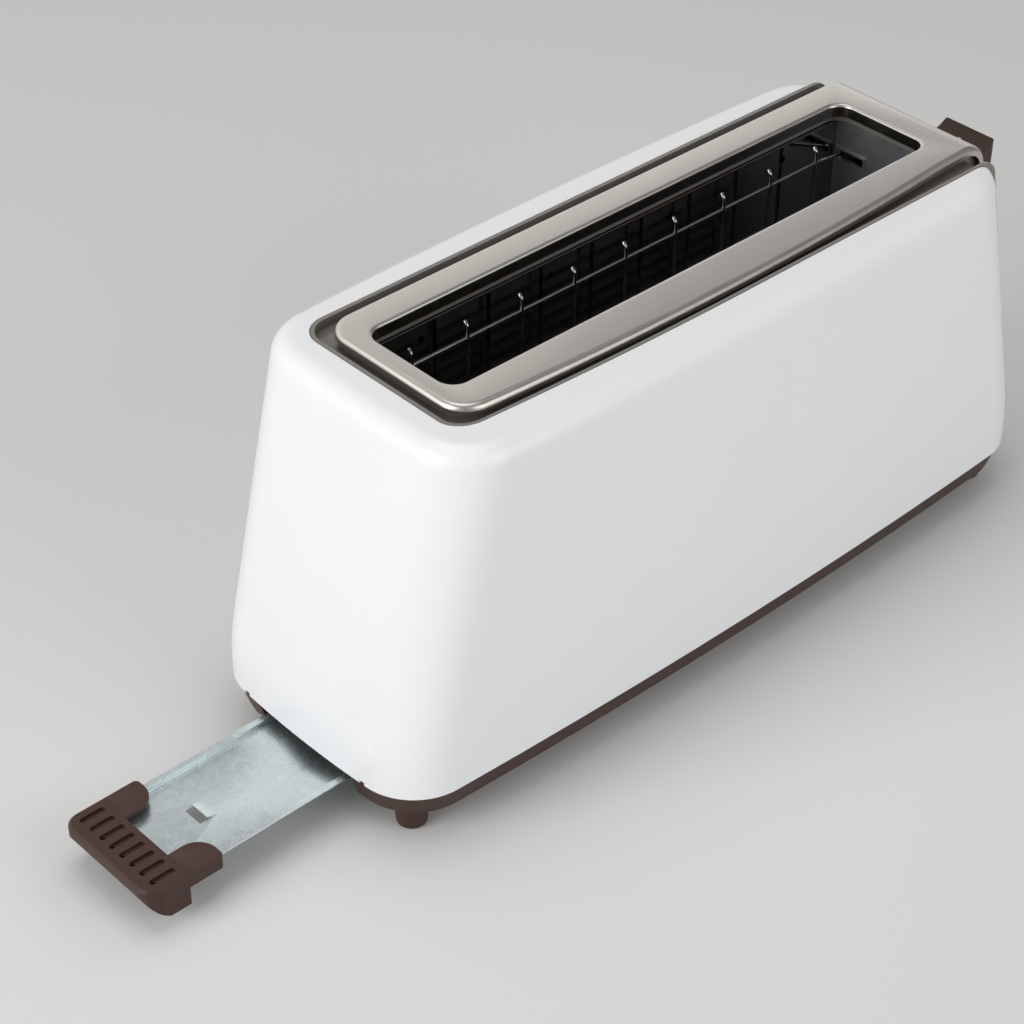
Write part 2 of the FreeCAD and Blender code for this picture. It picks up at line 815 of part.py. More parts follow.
def make_base_screws():
    screws = []
    for x, y in screw_places():
        head = post(screw_head_radius, x, y, base_bottom_z, screw_head_z)
        shank = post(screw_radius, x, y, screw_head_z, screw_top_z)
        slot_z = base_bottom_z + screw_head_height / 2
        half = screw_cross / 5
        cross = fuse([box(x - screw_cross, x + screw_cross, y - half, y + half, 0, slot_z),
                      box(x - half, x + half, y - screw_cross, y + screw_cross, 0, slot_z)])
        screws.append(fuse([head, shank]).cut(cross))
    return Part.makeCompound(screws)


# Toasting chamber
def end_plate_blank(side):
    """Upright plate at one end of the chamber, side +1 or -1 along x."""
    x0, x1 = sorted((side * chamber_half_length, side * end_outer_x))
    plate = box(x0, x1, -end_half_width, end_half_width, end_low_z, chamber_top_z)
    adds = []
    for y in (-end_half_width, end_half_width - end_leg_width):
        adds.append(box(x0, x1, y, y + end_leg_width, base_floor_z, end_low_z))
    c0, c1 = sorted((side * (chamber_half_length - guide_collar_rise), side * end_outer_x))
    cuts = []
    for y in (-guard_y, guard_y):
        half = guide_half_width
        high = guide_half_height
        cuts.append(box(x0 - beyond, x1 + beyond, y - half, y + half, guide_z - high, guide_z + high))
        half += guide_collar
        high += guide_collar
        adds.append(box(c0, c1, y - half, y + half, guide_z - high, guide_z + high))
    plate = fuse([plate] + adds)
    neck = rack_neck_half + rack_neck_clearance
    reach = rack_neck_height / 2 + 2 * rack_neck_clearance
    cuts.append(box(x0 - beyond, x1 + beyond, -neck, neck, rack_low_z - reach, rack_z + reach))
    hole = guard_pivot_radius + guard_pivot_clearance
    for y in (-guard_y, guard_y):
        cuts.append(rod(hole, Vec(x0 - 1, y, guard_pivot_z), Vec(x1 + 1, y, guard_pivot_z)))
    return plate.cut(fuse(cuts))


def make_end_plate_near():
    plate = end_plate_blank(-1)
    ears = []
    for z in (near_ear_low_z, near_ear_high_z):
        ears.append(box(-end_outer_x - near_ear_reach, -end_outer_x, -near_ear_half_width,
                        near_ear_half_width, z, z + frame_sheet))
    plate = fuse([plate] + ears)
    return plate.cut(post(near_rod_radius + rod_clearance, near_rod_x, 0, 0, total_height))


def make_end_plate_far():
    plate = end_plate_blank(1)
    high = guard_pin_radius + rack_neck_clearance
    for side in (-1, 1):
        y0, y1 = sorted((side * (guard_y - guard_swing - high), side * (guard_y + high)))
        plate = plate.cut(box(0, beyond, y0, y1, guard_pin_z - high, guard_pin_z + high))
    return plate


def make_reflector(side):
    """Folded sheet beside the heater, with a row of peep holes near its top."""
    length = chamber_half_length - chamber_gap / 2
    y0 = chamber_half_width
    y1 = y0 + chamber_sheet
    sheet = box(-length, length, y0, y1, chamber_low_z, chamber_top_z)
    flange = box(-length, length, y0 - chamber_flange, y1, chamber_top_z - chamber_sheet, chamber_top_z)
    foot = box(-length, length, y0 - chamber_flange, y1, chamber_low_z, chamber_low_z + chamber_sheet)
    holes = []
    spacing = 2 * chamber_half_length / peep_hole_count
    for k in range(peep_hole_count):
        x = spacing * (k + 0.5) - chamber_half_length
        holes.append(rod(peep_hole_radius, Vec(x, 0, peep_hole_z), Vec(x, half_width, peep_hole_z)))
    return mirrored(fuse([sheet, flange, foot]).cut(fuse(holes)), side)


def make_heater_board(side):
    length = chamber_half_length - heater_end_gap
    board = box(-length, length, heater_y, heater_y + heater_sheet, heater_low_z, heater_high_z)
    return mirrored(board, side)


def make_heater_ribbon(side):
    """One flat resistance ribbon led back and forth over the board."""
    left = ribbon_margin - chamber_half_length
    right = chamber_half_length - ribbon_margin
    y0 = heater_y - ribbon_thickness
    half = ribbon_width / 2
    low = heater_low_z + ribbon_margin
    pitch = (heater_high_z - heater_low_z - 2 * ribbon_margin) / (ribbon_runs - 1)
    runs = []
    for k in range(ribbon_runs):
        z = low + k * pitch
        runs.append(box(left, right, y0, heater_y, z - half, z + half))
        if k + 1 < ribbon_runs:
            x0 = right - ribbon_width if k % 2 == 0 else left
            runs.append(box(x0, x0 + ribbon_width, y0, heater_y, z, z + pitch))
    return mirrored(fuse(runs), side)


def wire_places():
    return [guard_first_x + k * guard_pitch for k in range(guard_wires)]


def make_guard(side):
    """Wire cage: upright wires on a pivot rod, joined by two long wires.

    The upper long wire has cranked ends, which move in the end plates' guide slots.
    """
    y = guard_y
    r = guard_wire_radius
    end = end_outer_x + guard_pivot_overhang
    pieces = [rod(guard_pivot_radius, Vec(-end, y, guard_pivot_z), Vec(end, y, guard_pivot_z))]
    for x in wire_places():
        bend = Vec(x, y, guard_bend_z)
        tip = Vec(x, y + guard_tip_reach, guard_bend_z + guard_tip_rise)
        pieces.append(bent_rod(r, [Vec(x, y, guard_pivot_z), bend, tip]))
    first = wire_places()[0]
    last = wire_places()[-1]
    guided_x = chamber_half_length + end_sheet / 2
    pieces.append(bent_rod(r, [Vec(-guided_x, y + guard_end_crank, guide_z),
                               Vec(first - guard_crank_room, y, guard_top_wire_z),
                               Vec(last + guard_crank_room, y, guard_top_wire_z),
                               Vec(guided_x, y + guard_end_crank, guide_z)]))
    pin_end = carriage_outer_x - guard_pin_short
    pieces.append(rod(guard_pin_radius, Vec(first, y, guard_pin_z), Vec(pin_end, y, guard_pin_z)))
    return mirrored(fuse(pieces), side)


# Bread rack, carriage and lever
def make_bread_rack():
    end = chamber_half_length - rack_end_room
    w = rack_half_width
    r = rack_wire_radius
    pieces = []
    for y in (-w, w):
        pieces.append(rod(r, Vec(-end, y, rack_z), Vec(end, y, rack_z)))
    for x in (-end, end):
        pieces.append(rod(r, Vec(x, -w, rack_z), Vec(x, w, rack_z)))
    for x in wire_places():
        pieces.append(rod(rack_cross_radius, Vec(x, -w, rack_z), Vec(x, w, rack_z)))
    h = rack_neck_height / 2
    n = rack_neck_half
    pieces.append(box(end + r / 2, carriage_x, -n, n, rack_z - h, rack_z + h))
    pieces.append(box(near_slider_x, -end - r / 2, -n, n, rack_z - h, rack_z + h))
    return fuse(pieces)


def make_near_slider():
    x1 = near_slider_x
    x0 = 2 * near_rod_x - x1
    half = near_slider_half_width
    block = box(x0, x1, -half, half, rack_z - near_slider_height / 2, rack_z + near_slider_height / 2)
    block = block.makeChamfer(near_slider_gap, edges_where(block, lambda p: abs(p.x - x0) < 0.01 and abs(p.y) > 1))
    return block.cut(post(near_rod_radius + rod_clearance, near_rod_x, 0, 0, total_height))


def cam_slot(side):
    """Slanted slot that draws a guard's pin inwards as the carriage goes down."""
    half = guard_pin_radius + cam_clearance
    slope = guard_swing / lever_travel
    z0 = guard_pin_z - cam_overrun
    z1 = guard_pin_z + lever_travel + cam_overrun
    y0 = guard_y + slope * cam_overrun
    y1 = guard_y - slope * (lever_travel + cam_overrun)
    corners = ((y0 - half, z0), (y0 + half, z0), (y1 + half, z1), (y1 - half, z1))
    points = [Vec(end_outer_x, side * y, z) for y, z in corners]
    return prism(points, X_AXIS * (carriage_outer_x - end_outer_x + carriage_sheet))


def make_carriage():
    """Folded steel plate with cam slots, guide ears, latch shelf and lever arm."""
    x1 = carriage_outer_x
    s = carriage_sheet
    plate = box(carriage_x, x1, -carriage_half_width, carriage_half_width, carriage_low_z, carriage_high_z)
    plate = plate.cut(fuse([cam_slot(1), cam_slot(-1)]))
    arm_end = lever_knob_x + lever_knob_depth / 2
    pieces = [
        plate,
        box(x1, x1 + ear_reach, -ear_half_width, ear_half_width, ear_top_z, ear_top_z + s),
        box(x1, x1 + ear_reach, -ear_half_width, spring_y + spring_plug_radius, ear_low_z, ear_low_z + s),
        box(x1, x1 + latch_reach, -latch_half_width, latch_half_width, latch_z, latch_z + s),
        box(x1, arm_end, -arm_thickness / 2, arm_thickness / 2, arm_low_z, arm_low_z + arm_height),
    ]
    holes = [post(rod_radius + rod_clearance, rod_x, y, 0, total_height) for y in (-rod_y, rod_y)]
    return fuse(pieces).cut(fuse(holes))


def make_lever_knob():
    x0 = lever_knob_x
    x1 = x0 + lever_knob_depth
    half = lever_knob_width / 2
    z_middle = arm_low_z + arm_height / 2
    z0 = z_middle - lever_knob_height / 2
    z1 = z_middle + lever_knob_height / 2
    edge = lever_knob_radius / 2
    profile = Part.Wire([
        arc(Vec(x0, -half, z1), Vec((x0 + x1) / 2, -half, z1 - lever_knob_dip), Vec(x1 - edge, -half, z1)),
        line(Vec(x1 - edge, -half, z1), Vec(x1, -half, z1 - edge)),
        line(Vec(x1, -half, z1 - edge), Vec(x1, -half, z0 + edge)),
        line(Vec(x1, -half, z0 + edge), Vec(x1 - edge, -half, z0)),
        line(Vec(x1 - edge, -half, z0), Vec(x0, -half, z0)),
        line(Vec(x0, -half, z0), Vec(x0, -half, z1)),
    ])
    knob = Part.Face(profile).extrude(Y_AXIS * 2 * half)
    knob = knob.common(rounded_block(x0 - 2 * lever_knob_depth, x1, half, lever_knob_radius, 0, total_height))
    f = lever_knob_fit
    return knob.cut(box(carriage_x, x0 + lever_knob_depth / 2 + f, -arm_thickness / 2 - f,
                        arm_thickness / 2 + f, arm_low_z - f, arm_low_z + arm_height + f))


def make_armature():
    x0 = end_outer_x + core_back
    return box(x0, x0 + core_depth, -armature_half_width, armature_half_width,
               latch_z - armature_height, latch_z)


def make_guide_rods():
    low = frame_low_z + frame_sheet
    high = frame_high_z - frame_sheet
    return Part.makeCompound([post(rod_radius, rod_x, y, low, high) for y in (-rod_y, rod_y)])


def make_near_guide_rod():
    return post(near_rod_radius, near_rod_x, 0, near_ear_low_z - frame_sheet, near_ear_high_z + 2 * frame_sheet)


# Mechanism frame, magnet and spring
def make_mechanism_frame():
    x0 = end_outer_x
    w = frame_half_width
    s = frame_sheet
    pieces = [box(x0, x0 + frame_top_reach, -w, w, frame_high_z - s, frame_high_z),
              box(x0, x0 + frame_bottom_reach, -w, w, frame_low_z, frame_low_z + s)]
    for y in (-w, w - s):
        pieces.append(box(x0, x0 + frame_web_reach, y, y + s, frame_low_z, frame_high_z))
    return fuse(pieces)


def make_magnet_core():
    x0 = end_outer_x + core_back
    x1 = x0 + core_depth
    z0 = frame_low_z + frame_sheet
    w = core_half_width
    pieces = [box(x0, x1, -w, w, z0, z0 + core_yoke)]
    for y0, y1 in ((-w, core_leg - w), (-core_leg, core_leg), (w - core_leg, w)):
        pieces.append(box(x0, x1, y0, y1, z0, core_top_z))
    return fuse(pieces)


def make_magnet_coil():
    x0 = end_outer_x + core_back
    x1 = x0 + core_depth
    z0 = frame_low_z + frame_sheet + core_yoke + coil_clearance
    z1 = core_top_z - coil_margin
    c = coil_clearance
    half = core_leg + coil_wall
    outer = box(x0 - coil_side, x1 + coil_side, -half, half, z0, z1)
    outer = outer.makeChamfer(coil_side - c, upright_edges(outer))
    return outer.cut(box(x0 - c, x1 + c, -core_leg - c, core_leg + c, 0, total_height))


def make_lift_spring():
    """Draw spring from the frame's top shelf to the carriage's lower ear.

    The end turns are wound into round plugs that hold the spring at both ends.
    """
    low = ear_low_z + carriage_sheet
    high = frame_high_z - frame_sheet
    buried = spring_plug_height / 2
    rise = (high - low - 2 * buried) / spring_turns
    r = spring_mean_radius

    def on_helix(turns):
        angle = 2 * math.pi * turns
        return Vec(rod_x + r * math.cos(angle), spring_y + r * math.sin(angle),
                   low + buried + rise * turns)

    edges = []
    for k in range(2 * spring_turns):
        edges.append(arc(on_helix(k / 2), on_helix(k / 2 + 0.25), on_helix(k / 2 + 0.5)))
    across = edges[0].tangentAt(edges[0].FirstParameter).cross(X_AXIS).normalize()
    corners = []
    for k in range(spring_sides + 1):
        angle = 2 * math.pi * k / spring_sides
        way = X_AXIS * math.cos(angle) + across * math.sin(angle)
        corners.append(on_helix(0).add(way * spring_wire_radius))
    coil = Part.Wire(edges).makePipeShell([Part.makePolygon(corners)], True, False)
    plugs = [post(spring_plug_radius, rod_x, spring_y, z, z + spring_plug_height)
             for z in (low, high - spring_plug_height)]
    points = [on_helix(k / 60) for k in range(60 * spring_turns + 1)]
    least = min(points[i].sub(points[i + 60 + j]).Length for i in range(0, 200, 7) for j in (-3, 0, 3))
    print("spring: least gap between turns %.2f mm" % (least - 2 * spring_wire_radius))
    return fuse([coil] + plugs)


# Controls
def make_control_board():
    half = board_half_width
    span = (board_high_z - board_low_z) / math.cos(face_angle)
    board = on_face(box(-board_offset - board_thickness, -board_offset, -half, half, 0, span), board_low_z)
    return board.cut(face_disc(knob_shaft_radius + button_clearance, knob_z, 0, -2 * board_offset, 0))


def make_button_switches():
    switches = []
    half = switch_body / 2
    for k in (-1, 0, 1):
        y = k * button_pitch
        body = box(-board_offset, switch_height - board_offset, y - half, y + half, -half, half)
        stem = rod(switch_stem_radius, Vec(-board_offset + switch_height / 2, y, 0), Vec(switch_stem_top, y, 0))
        switches.append(on_face(body.fuse(stem), button_z))
    return Part.makeCompound(switches)


def make_button(k):
    y = k * button_pitch
    front = strip_rise + button_proud
    flange_front = button_back + button_flange_thickness
    flange = rod(button_radius + button_flange, Vec(button_back, y, 0), Vec(flange_front, y, 0))
    cap = rod(button_radius, Vec(flange_front, y, 0), Vec(front - button_edge, y, 0))
    edge = Part.makeCone(button_radius, button_radius - button_edge, button_edge,
                         Vec(front - button_edge, y, 0), X_AXIS)
    return on_face(fuse([flange, cap, edge]), button_z)


def make_browning_dial():
    back = -board_offset - board_thickness - pot_depth
    body = rod(pot_radius, Vec(back, 0, 0), Vec(back + pot_depth, 0, 0))
    bore = rod(knob_shaft_radius + knob_shaft_fit, Vec(back - 1, 0, 0), Vec(back + pot_depth + 1, 0, 0))
    return on_face(body.cut(bore), knob_z)


def make_browning_shaft():
    return face_disc(knob_shaft_radius, knob_z, 0, 1 - board_offset - board_thickness - pot_depth,
                     knob_back + knob_depth - knob_cap)


def make_browning_knob():
    """Round knob with a raised grip bar across its face."""
    front = knob_back + knob_depth - knob_grip_height
    top = knob_back + knob_depth
    disc = rod(knob_radius, Vec(knob_back, 0, 0), Vec(front - knob_edge, 0, 0))
    edge = Part.makeCone(knob_radius, knob_radius - knob_edge, knob_edge, Vec(front - knob_edge, 0, 0), X_AXIS)
    half = knob_grip_width / 2
    reach = knob_radius - knob_edge
    grip = box(front - knob_edge, top, -half, half, -reach, reach)
    grip = grip.makeChamfer(knob_edge, edges_where(grip, lambda p: p.x > front))
    bore = rod(knob_shaft_radius + knob_shaft_fit, Vec(knob_back - 1, 0, 0),
               Vec(top - knob_cap + knob_shaft_fit, 0, 0))
    return on_face(fuse([disc, edge, grip]).cut(bore), knob_z)


# Crumb tray
def make_crumb_tray():
    """Folded sheet: flat floor, upright sides with an outward hem, end wall."""
    x0 = handle_outer_x + handle_grip
    x1 = tray_inner_x
    t = tray_sheet
    w = tray_half_width
    wall = w - tray_hem
    pieces = [box(x0, x1, -wall, wall, tray_floor_z, tray_floor_z + t),
              box(x1 - t, x1, -wall, wall, tray_floor_z, tray_top_z)]
    for side in (-1, 1):
        y0, y1 = sorted((side * (wall - t), side * wall))
        pieces.append(box(x0, x1, y0, y1, tray_floor_z, tray_top_z))
        y0, y1 = sorted((side * (wall - t), side * w))
        pieces.append(box(x0, x1, y0, y1, tray_top_z - t, tray_top_z))
    tray = fuse(pieces)
    start = tray_louvre_x - tray_louvre_length / 2
    end = start + tray_louvre_length
    hood = start + tray_louvre_gash
    half = tray_louvre_half_width
    top = tray_floor_z + t
    gash = box(start, (hood + end) / 2, -half, half, 0, tray_top_z)
    raised = top + tray_louvre_rise
    flap = prism([Vec(hood, -half, raised - t), Vec(hood, -half, raised), Vec(end, -half, top),
                  Vec(end, -half, tray_floor_z)], Y_AXIS * 2 * half)
    return fuse([tray.cut(gash), flap])


def handle_wing(side, low):
    """Flat wing behind the grip bar: straight beside it, then curved out to its tip."""
    x1 = handle_outer_x + handle_bar
    tip = x1 + handle_wing_reach
    bend = x1 + handle_wing_straight
    w = handle_half_width
    foot = w - handle_wing_bridge
    flat = w - handle_wing_flat
    part_way = math.sqrt(0.5)
    corners = [
        Vec(x1 - handle_edge, side * foot, low),
        Vec(bend, side * foot, low),
        Vec(bend + (tip - bend) * part_way, side * (foot + (flat - foot) * (1 - part_way)), low),
        Vec(tip, side * flat, low),
        Vec(tip, side * (w - handle_wing_corner), low),
        Vec(tip - handle_wing_corner, side * w, low),
        Vec(x1 - handle_edge, side * w, low),
    ]
    edges = [line(corners[0], corners[1]), arc(corners[1], corners[2], corners[3])]
    edges += [line(a, b) for a, b in zip(corners[3:], corners[4:] + corners[:1])]
    return Part.Face(Part.Wire(edges)).extrude(Z_AXIS * (handle_top_z - handle_wing_step - low))


def handle_bar_solid():
    """Grip bar: thin nose in front, its belly curved down to a flat foot behind."""
    x0 = handle_outer_x
    x1 = x0 + handle_bar
    w = handle_half_width
    nose_z = handle_top_z - handle_nose
    y = -w
    nose = Vec(x0, y, nose_z)
    toe = Vec(x0 + handle_toe, y, handle_low_z)
    belly = Vec(x0 + handle_belly, y, (nose_z + handle_low_z) / 2)
    profile = Part.Wire([
        line(nose, Vec(x0, y, handle_top_z)),
        line(Vec(x0, y, handle_top_z), Vec(x1, y, handle_top_z)),
        line(Vec(x1, y, handle_top_z), Vec(x1, y, handle_low_z)),
        line(Vec(x1, y, handle_low_z), toe),
        arc(toe, belly, nose),
    ])
    bar = Part.Face(profile).extrude(Y_AXIS * 2 * w)
    plan = box(x0, x1, -w, w, 0, total_height)
    front_corners = edges_where(plan, lambda p: abs(p.x - x0) < 0.01 and abs(abs(p.y) - w) < 0.01)
    return bar.common(plan.makeFillet(handle_corner, front_corners))


def make_tray_handle():
    """Moulded grip bar with two lower wings that clasp the tray's edges."""
    x0 = handle_outer_x
    x1 = x0 + handle_bar
    w = handle_half_width
    low = tray_floor_z - handle_wing_drop
    handle = fuse([handle_bar_solid(), handle_wing(-1, low), handle_wing(1, low)])
    top_front = edges_where(handle, lambda p: abs(p.z - handle_top_z) < 0.01 and p.x < x0 + handle_corner)
    handle = handle.makeChamfer(handle_edge, top_front)
    f = handle_fit
    pocket = box(x0 + handle_grip - f, beyond, -tray_half_width - f, tray_half_width + f,
                 tray_floor_z - f, tray_top_z + f)
    hollow = box(x0 + handle_toe, x1 - handle_wall, handle_wall - w, w - handle_wall, 0,
                 tray_floor_z - handle_wall)
    return handle.cut(pocket).cut(hollow).cut(handle_grip_cuts())


def handle_grip_cuts():
    """Row of grooves across the bar's top, most of them with a drain hole."""
    cuts = []
    half = handle_rib_length / 2
    r = handle_rib_width / 2
    middle = handle_outer_x + handle_bar / 2 + r
    for k in range(handle_rib_count):
        y = (k - (handle_rib_count - 1) / 2) * handle_rib_pitch
        z = handle_top_z - handle_rib_depth
        ends = [post(r, middle + s * (half - r), y, z, z + handle_rib_width) for s in (-1, 1)]
        cuts += ends + [box(middle - half + r, middle + half - r, y - r, y + r, z, z + handle_rib_width)]
        if k < handle_rib_count - handle_plain_ribs:
            cuts.append(post(handle_hole_radius, middle - half + r, y, 0, handle_top_z))
    return fuse(cuts)


def make_tray_runner(side):
    """Channel on the base's floor that the tray's hem slides in."""
    g = runner_gap
    y0 = tray_half_width + g
    y1 = y0 + runner_wall
    lip = y0 - runner_lip
    pieces = [box(runner_near_x, runner_far_x, y0, y1, base_floor_z, runner_high_z),
              box(runner_near_x, runner_far_x, lip, y1, base_floor_z, tray_top_z - tray_sheet - g),
              box(runner_near_x, runner_far_x, lip, y1, tray_top_z + g, runner_high_z)]
    return mirrored(fuse(pieces), side)


# Cord inlet and terminal block
def inlet_y():
    """Outer face of the base's back wall at the cord inlet."""
    low = base_bottom_z + base_edge
    share = (inlet_z - low) / (shell_bottom_z - low)
    return half_width - base_inset_bottom + (base_inset_bottom - base_inset_top) * share - side_bow(inlet_x)


def inlet_cylinder(radius, y0, y1):
    return rod(radius, Vec(inlet_x, inlet_y() + y0, inlet_z), Vec(inlet_x, inlet_y() + y1, inlet_z))


def make_inlet_bush():
    flange = inlet_cylinder(inlet_flange_radius, inlet_pad, inlet_pad + inlet_flange)
    neck = inlet_cylinder(inlet_bush_radius, inlet_pad + inlet_flange - inlet_length, inlet_pad)
    bore = inlet_cylinder(inlet_bore_radius, -inlet_length, inlet_length)
    return fuse([flange, neck]).cut(bore)


def make_terminal_block():
    """Moulded block with three screw wells and three wire holes."""
    z0 = base_floor_z
    x0 = terminal_x
    y0 = terminal_y
    y1 = y0 + terminal_width
    block = box(x0, x0 + terminal_length, y0, y1, z0, z0 + terminal_height)
    cuts = []
    for k in range(3):
        x = x0 + terminal_length * (k + 0.5) / 3
        cuts.append(post(terminal_screw_radius, x, (y0 + y1) / 2, z0 + terminal_well_z, total_height))
        cuts.append(rod(terminal_wire_radius, Vec(x, y0 - 1, z0 + terminal_well_z),
                        Vec(x, y1 + 1, z0 + terminal_well_z)))
    return block.cut(fuse(cuts))


# Frame that is handed in and export
def frame_shift():
    return -(handle_outer_x + lever_knob_x + lever_knob_depth) / 2


def save(shape, name):
    shape = shape.copy()
    shape.translate(Vec(frame_shift(), 0, 0))
    shape.exportStep("parts/%s.step" % name)
    if not shape.isValid():
        print("not valid:", name)


def build():
    os.makedirs("parts", exist_ok=True)
    save(make_shell(), "shell")
    save(make_top_bezel(), "top_bezel")
    save(make_slot_trim(), "slot_trim")
    save(make_base(), "base")
    for end, x in (("near", foot_x_near), ("far", foot_x_far)):
        save(make_foot(x, -foot_y), "foot_%s_front" % end)
        save(make_foot(x, foot_y), "foot_%s_back" % end)
    save(make_base_screws(), "base_screws")
    save(make_end_plate_near(), "chamber_end_near")
    save(make_end_plate_far(), "chamber_end_far")
    for name, side in (("front", -1), ("back", 1)):
        save(make_reflector(side), "reflector_" + name)
        save(make_heater_board(side), "heater_board_" + name)
        save(make_heater_ribbon(side), "heater_ribbon_" + name)
        save(make_guard(side), "bread_guard_" + name)
        save(make_tray_runner(side), "tray_runner_" + name)
    save(make_bread_rack(), "bread_rack")
    save(make_near_slider(), "near_slider")
    save(make_carriage(), "carriage")
    save(make_lever_knob(), "lever_knob")
    save(make_armature(), "latch_armature")
    save(make_guide_rods(), "guide_rods")
    save(make_near_guide_rod(), "near_guide_rod")
    save(make_mechanism_frame(), "mechanism_frame")
    save(make_magnet_core(), "magnet_core")
    save(make_magnet_coil(), "magnet_coil")
    save(make_lift_spring(), "lift_spring")
    save(make_control_board(), "control_board")
    save(make_button_switches(), "button_switches")
    for name, k in (("cancel", -1), ("defrost", 0), ("reheat", 1)):
        save(make_button(k), name + "_button")
    save(make_browning_dial(), "browning_control")
    save(make_browning_shaft(), "browning_shaft")
    save(make_browning_knob(), "browning_knob")
    save(make_crumb_tray(), "crumb_tray")
    save(make_tray_handle(), "tray_handle")
    save(make_inlet_bush(), "inlet_bush")
    save(make_terminal_block(), "terminal_block")


build()
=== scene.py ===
"""Looks of the long slot toaster: finishes, rounded edges, wires, printed dial and studio."""
import json
import math

import bmesh
import bpy
from bpy.props import FloatProperty, IntProperty, PointerProperty, StringProperty
from mathutils import Matrix, Vector

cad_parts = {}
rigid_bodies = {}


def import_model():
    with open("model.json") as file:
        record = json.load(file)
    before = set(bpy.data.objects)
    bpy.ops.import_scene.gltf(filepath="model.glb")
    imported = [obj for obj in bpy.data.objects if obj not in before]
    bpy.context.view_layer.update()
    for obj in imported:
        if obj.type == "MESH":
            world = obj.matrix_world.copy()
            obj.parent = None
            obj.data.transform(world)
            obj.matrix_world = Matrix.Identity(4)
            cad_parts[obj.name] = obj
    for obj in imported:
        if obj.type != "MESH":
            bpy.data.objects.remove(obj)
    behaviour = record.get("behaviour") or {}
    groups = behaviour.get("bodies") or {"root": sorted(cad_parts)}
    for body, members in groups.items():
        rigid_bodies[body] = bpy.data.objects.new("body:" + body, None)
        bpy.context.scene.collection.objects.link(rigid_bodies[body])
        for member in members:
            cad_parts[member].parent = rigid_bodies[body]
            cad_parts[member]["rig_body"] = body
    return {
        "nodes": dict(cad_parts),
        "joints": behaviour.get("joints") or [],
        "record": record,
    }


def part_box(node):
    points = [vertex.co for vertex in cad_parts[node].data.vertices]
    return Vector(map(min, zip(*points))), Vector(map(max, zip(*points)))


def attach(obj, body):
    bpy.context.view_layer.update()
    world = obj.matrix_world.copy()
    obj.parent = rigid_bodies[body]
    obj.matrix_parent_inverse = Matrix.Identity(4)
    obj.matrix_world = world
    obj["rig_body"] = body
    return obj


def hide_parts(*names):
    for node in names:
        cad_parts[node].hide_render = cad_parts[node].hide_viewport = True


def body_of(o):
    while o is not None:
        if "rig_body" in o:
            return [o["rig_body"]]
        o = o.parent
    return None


bl_info = {
    "name": "Long slot toaster",
    "version": (1, 0, 0),
    "blender": (4, 5, 0),
    "location": "View3D > Sidebar > Toaster",
    "description": "Dresses a long slot toaster's parts and sets it on a studio floor",
    "category": "Object",
}

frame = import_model()
NODES = frame["nodes"]
JOINTS = {joint["name"]: joint for joint in frame["joints"]}
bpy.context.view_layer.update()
MM = 0.001


def box_of(*names):
    """Lowest and highest corner of several nodes together, in metres."""
    lows, highs = zip(*(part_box(name) for name in names))
    low = Vector([min(c[i] for c in lows) for i in range(3)])
    high = Vector([max(c[i] for c in highs) for i in range(3)])
    return low, high


SLOTS = {part["node"]: part["material_slot"] for part in frame["record"]["subparts"]}
CHAMBER_LOW, CHAMBER_HIGH = box_of("reflector_back")
SLOT_MIDDLE = (CHAMBER_LOW.x + CHAMBER_HIGH.x) / 2
SLOT_REACH = (CHAMBER_HIGH.x - CHAMBER_LOW.x) / 2
# Half the bread slot's length and width
SLOT_HALF = Vector((130 * MM, 23.7 * MM, 0))
STRIP_EDGE = box_of("slot_trim")[1].y
# The strip's fold, between its edge and where its front leg starts to bow
STRIP_FOLD = 3.6 * MM
# Cuts across the strip: their distance, how far before the slot they start, and how much longer
# than the slot the row of them is
STRIP_CUT_STEP, STRIP_CUT_START, STRIP_CUT_ROOM = 10 * MM, 8 * MM, 20 * MM
# The lip's inner faces lie inside the slot's outline and this margin, this far below the top
LIP_MARGIN, LIP_DEPTH = 1 * MM, 1.0 * MM
# Lowest corner of the room that holds the channel and the edge round it
RECESS_LOW = Vector((CHAMBER_LOW.x - 10.8 * MM, -48.6 * MM, CHAMBER_HIGH.z - 8 * MM))
# The rim bows fully from this far inside the room's front
RIM_MARGIN = 1.5 * MM
# An edge of the rim that is longer than this gets this many cuts, so that it can bow
LONG_EDGE, LONG_EDGE_CUTS = 30 * MM, 24

# Points this near are one: in a part's loose triangles, in cuts and figures, where a loop closes
PART_MERGE, FINE_MERGE, LOOP_MERGE = 0.002 * MM, 0.001 * MM, 0.02 * MM
# Faces of a part that turn less than this are one flat face
FLAT_ANGLE = math.radians(0.2)
# Edges that turn more than this are sharp: on parts with a small rounding, and on other pieces
ROUNDED_SHARP, PIECE_SHARP = math.radians(28), math.radians(35)

# Sides of the guards' pivot and led rods and of the rack's cross wires
PIVOT_SIDES, PIN_SIDES, CROSS_SIDES = 20, 16, 12
WIRE_BEND_STEPS, RACK_BEND_STEPS = 5, 6
# Rounding of a wire's cut end, as a share of its radius
WIRE_END_SHARE = 0.35
NECK_EDGE = 0.25 * MM

DIAL = JOINTS["browning_turn"]
DIAL_AXIS = Vector(DIAL["axis"]).normalized()
DIAL_CENTRE = Vector(DIAL["pos_m"])
# The strip stands this far out of the line that the dial's joint is on
FASCIA_DEPTH = 3.7 * MM
# Thickness of the printed ticks, of a figure to each side of its middle, and of the knob's line
TICK_THICKNESS, FIGURE_HALF, POINTER_THICKNESS = 0.06 * MM, 0.02 * MM, 0.1 * MM
# Rounding of the line's ends, as a share of its width
POINTER_END_SHARE = 0.45

FLOOR_RADIUS = 4.0
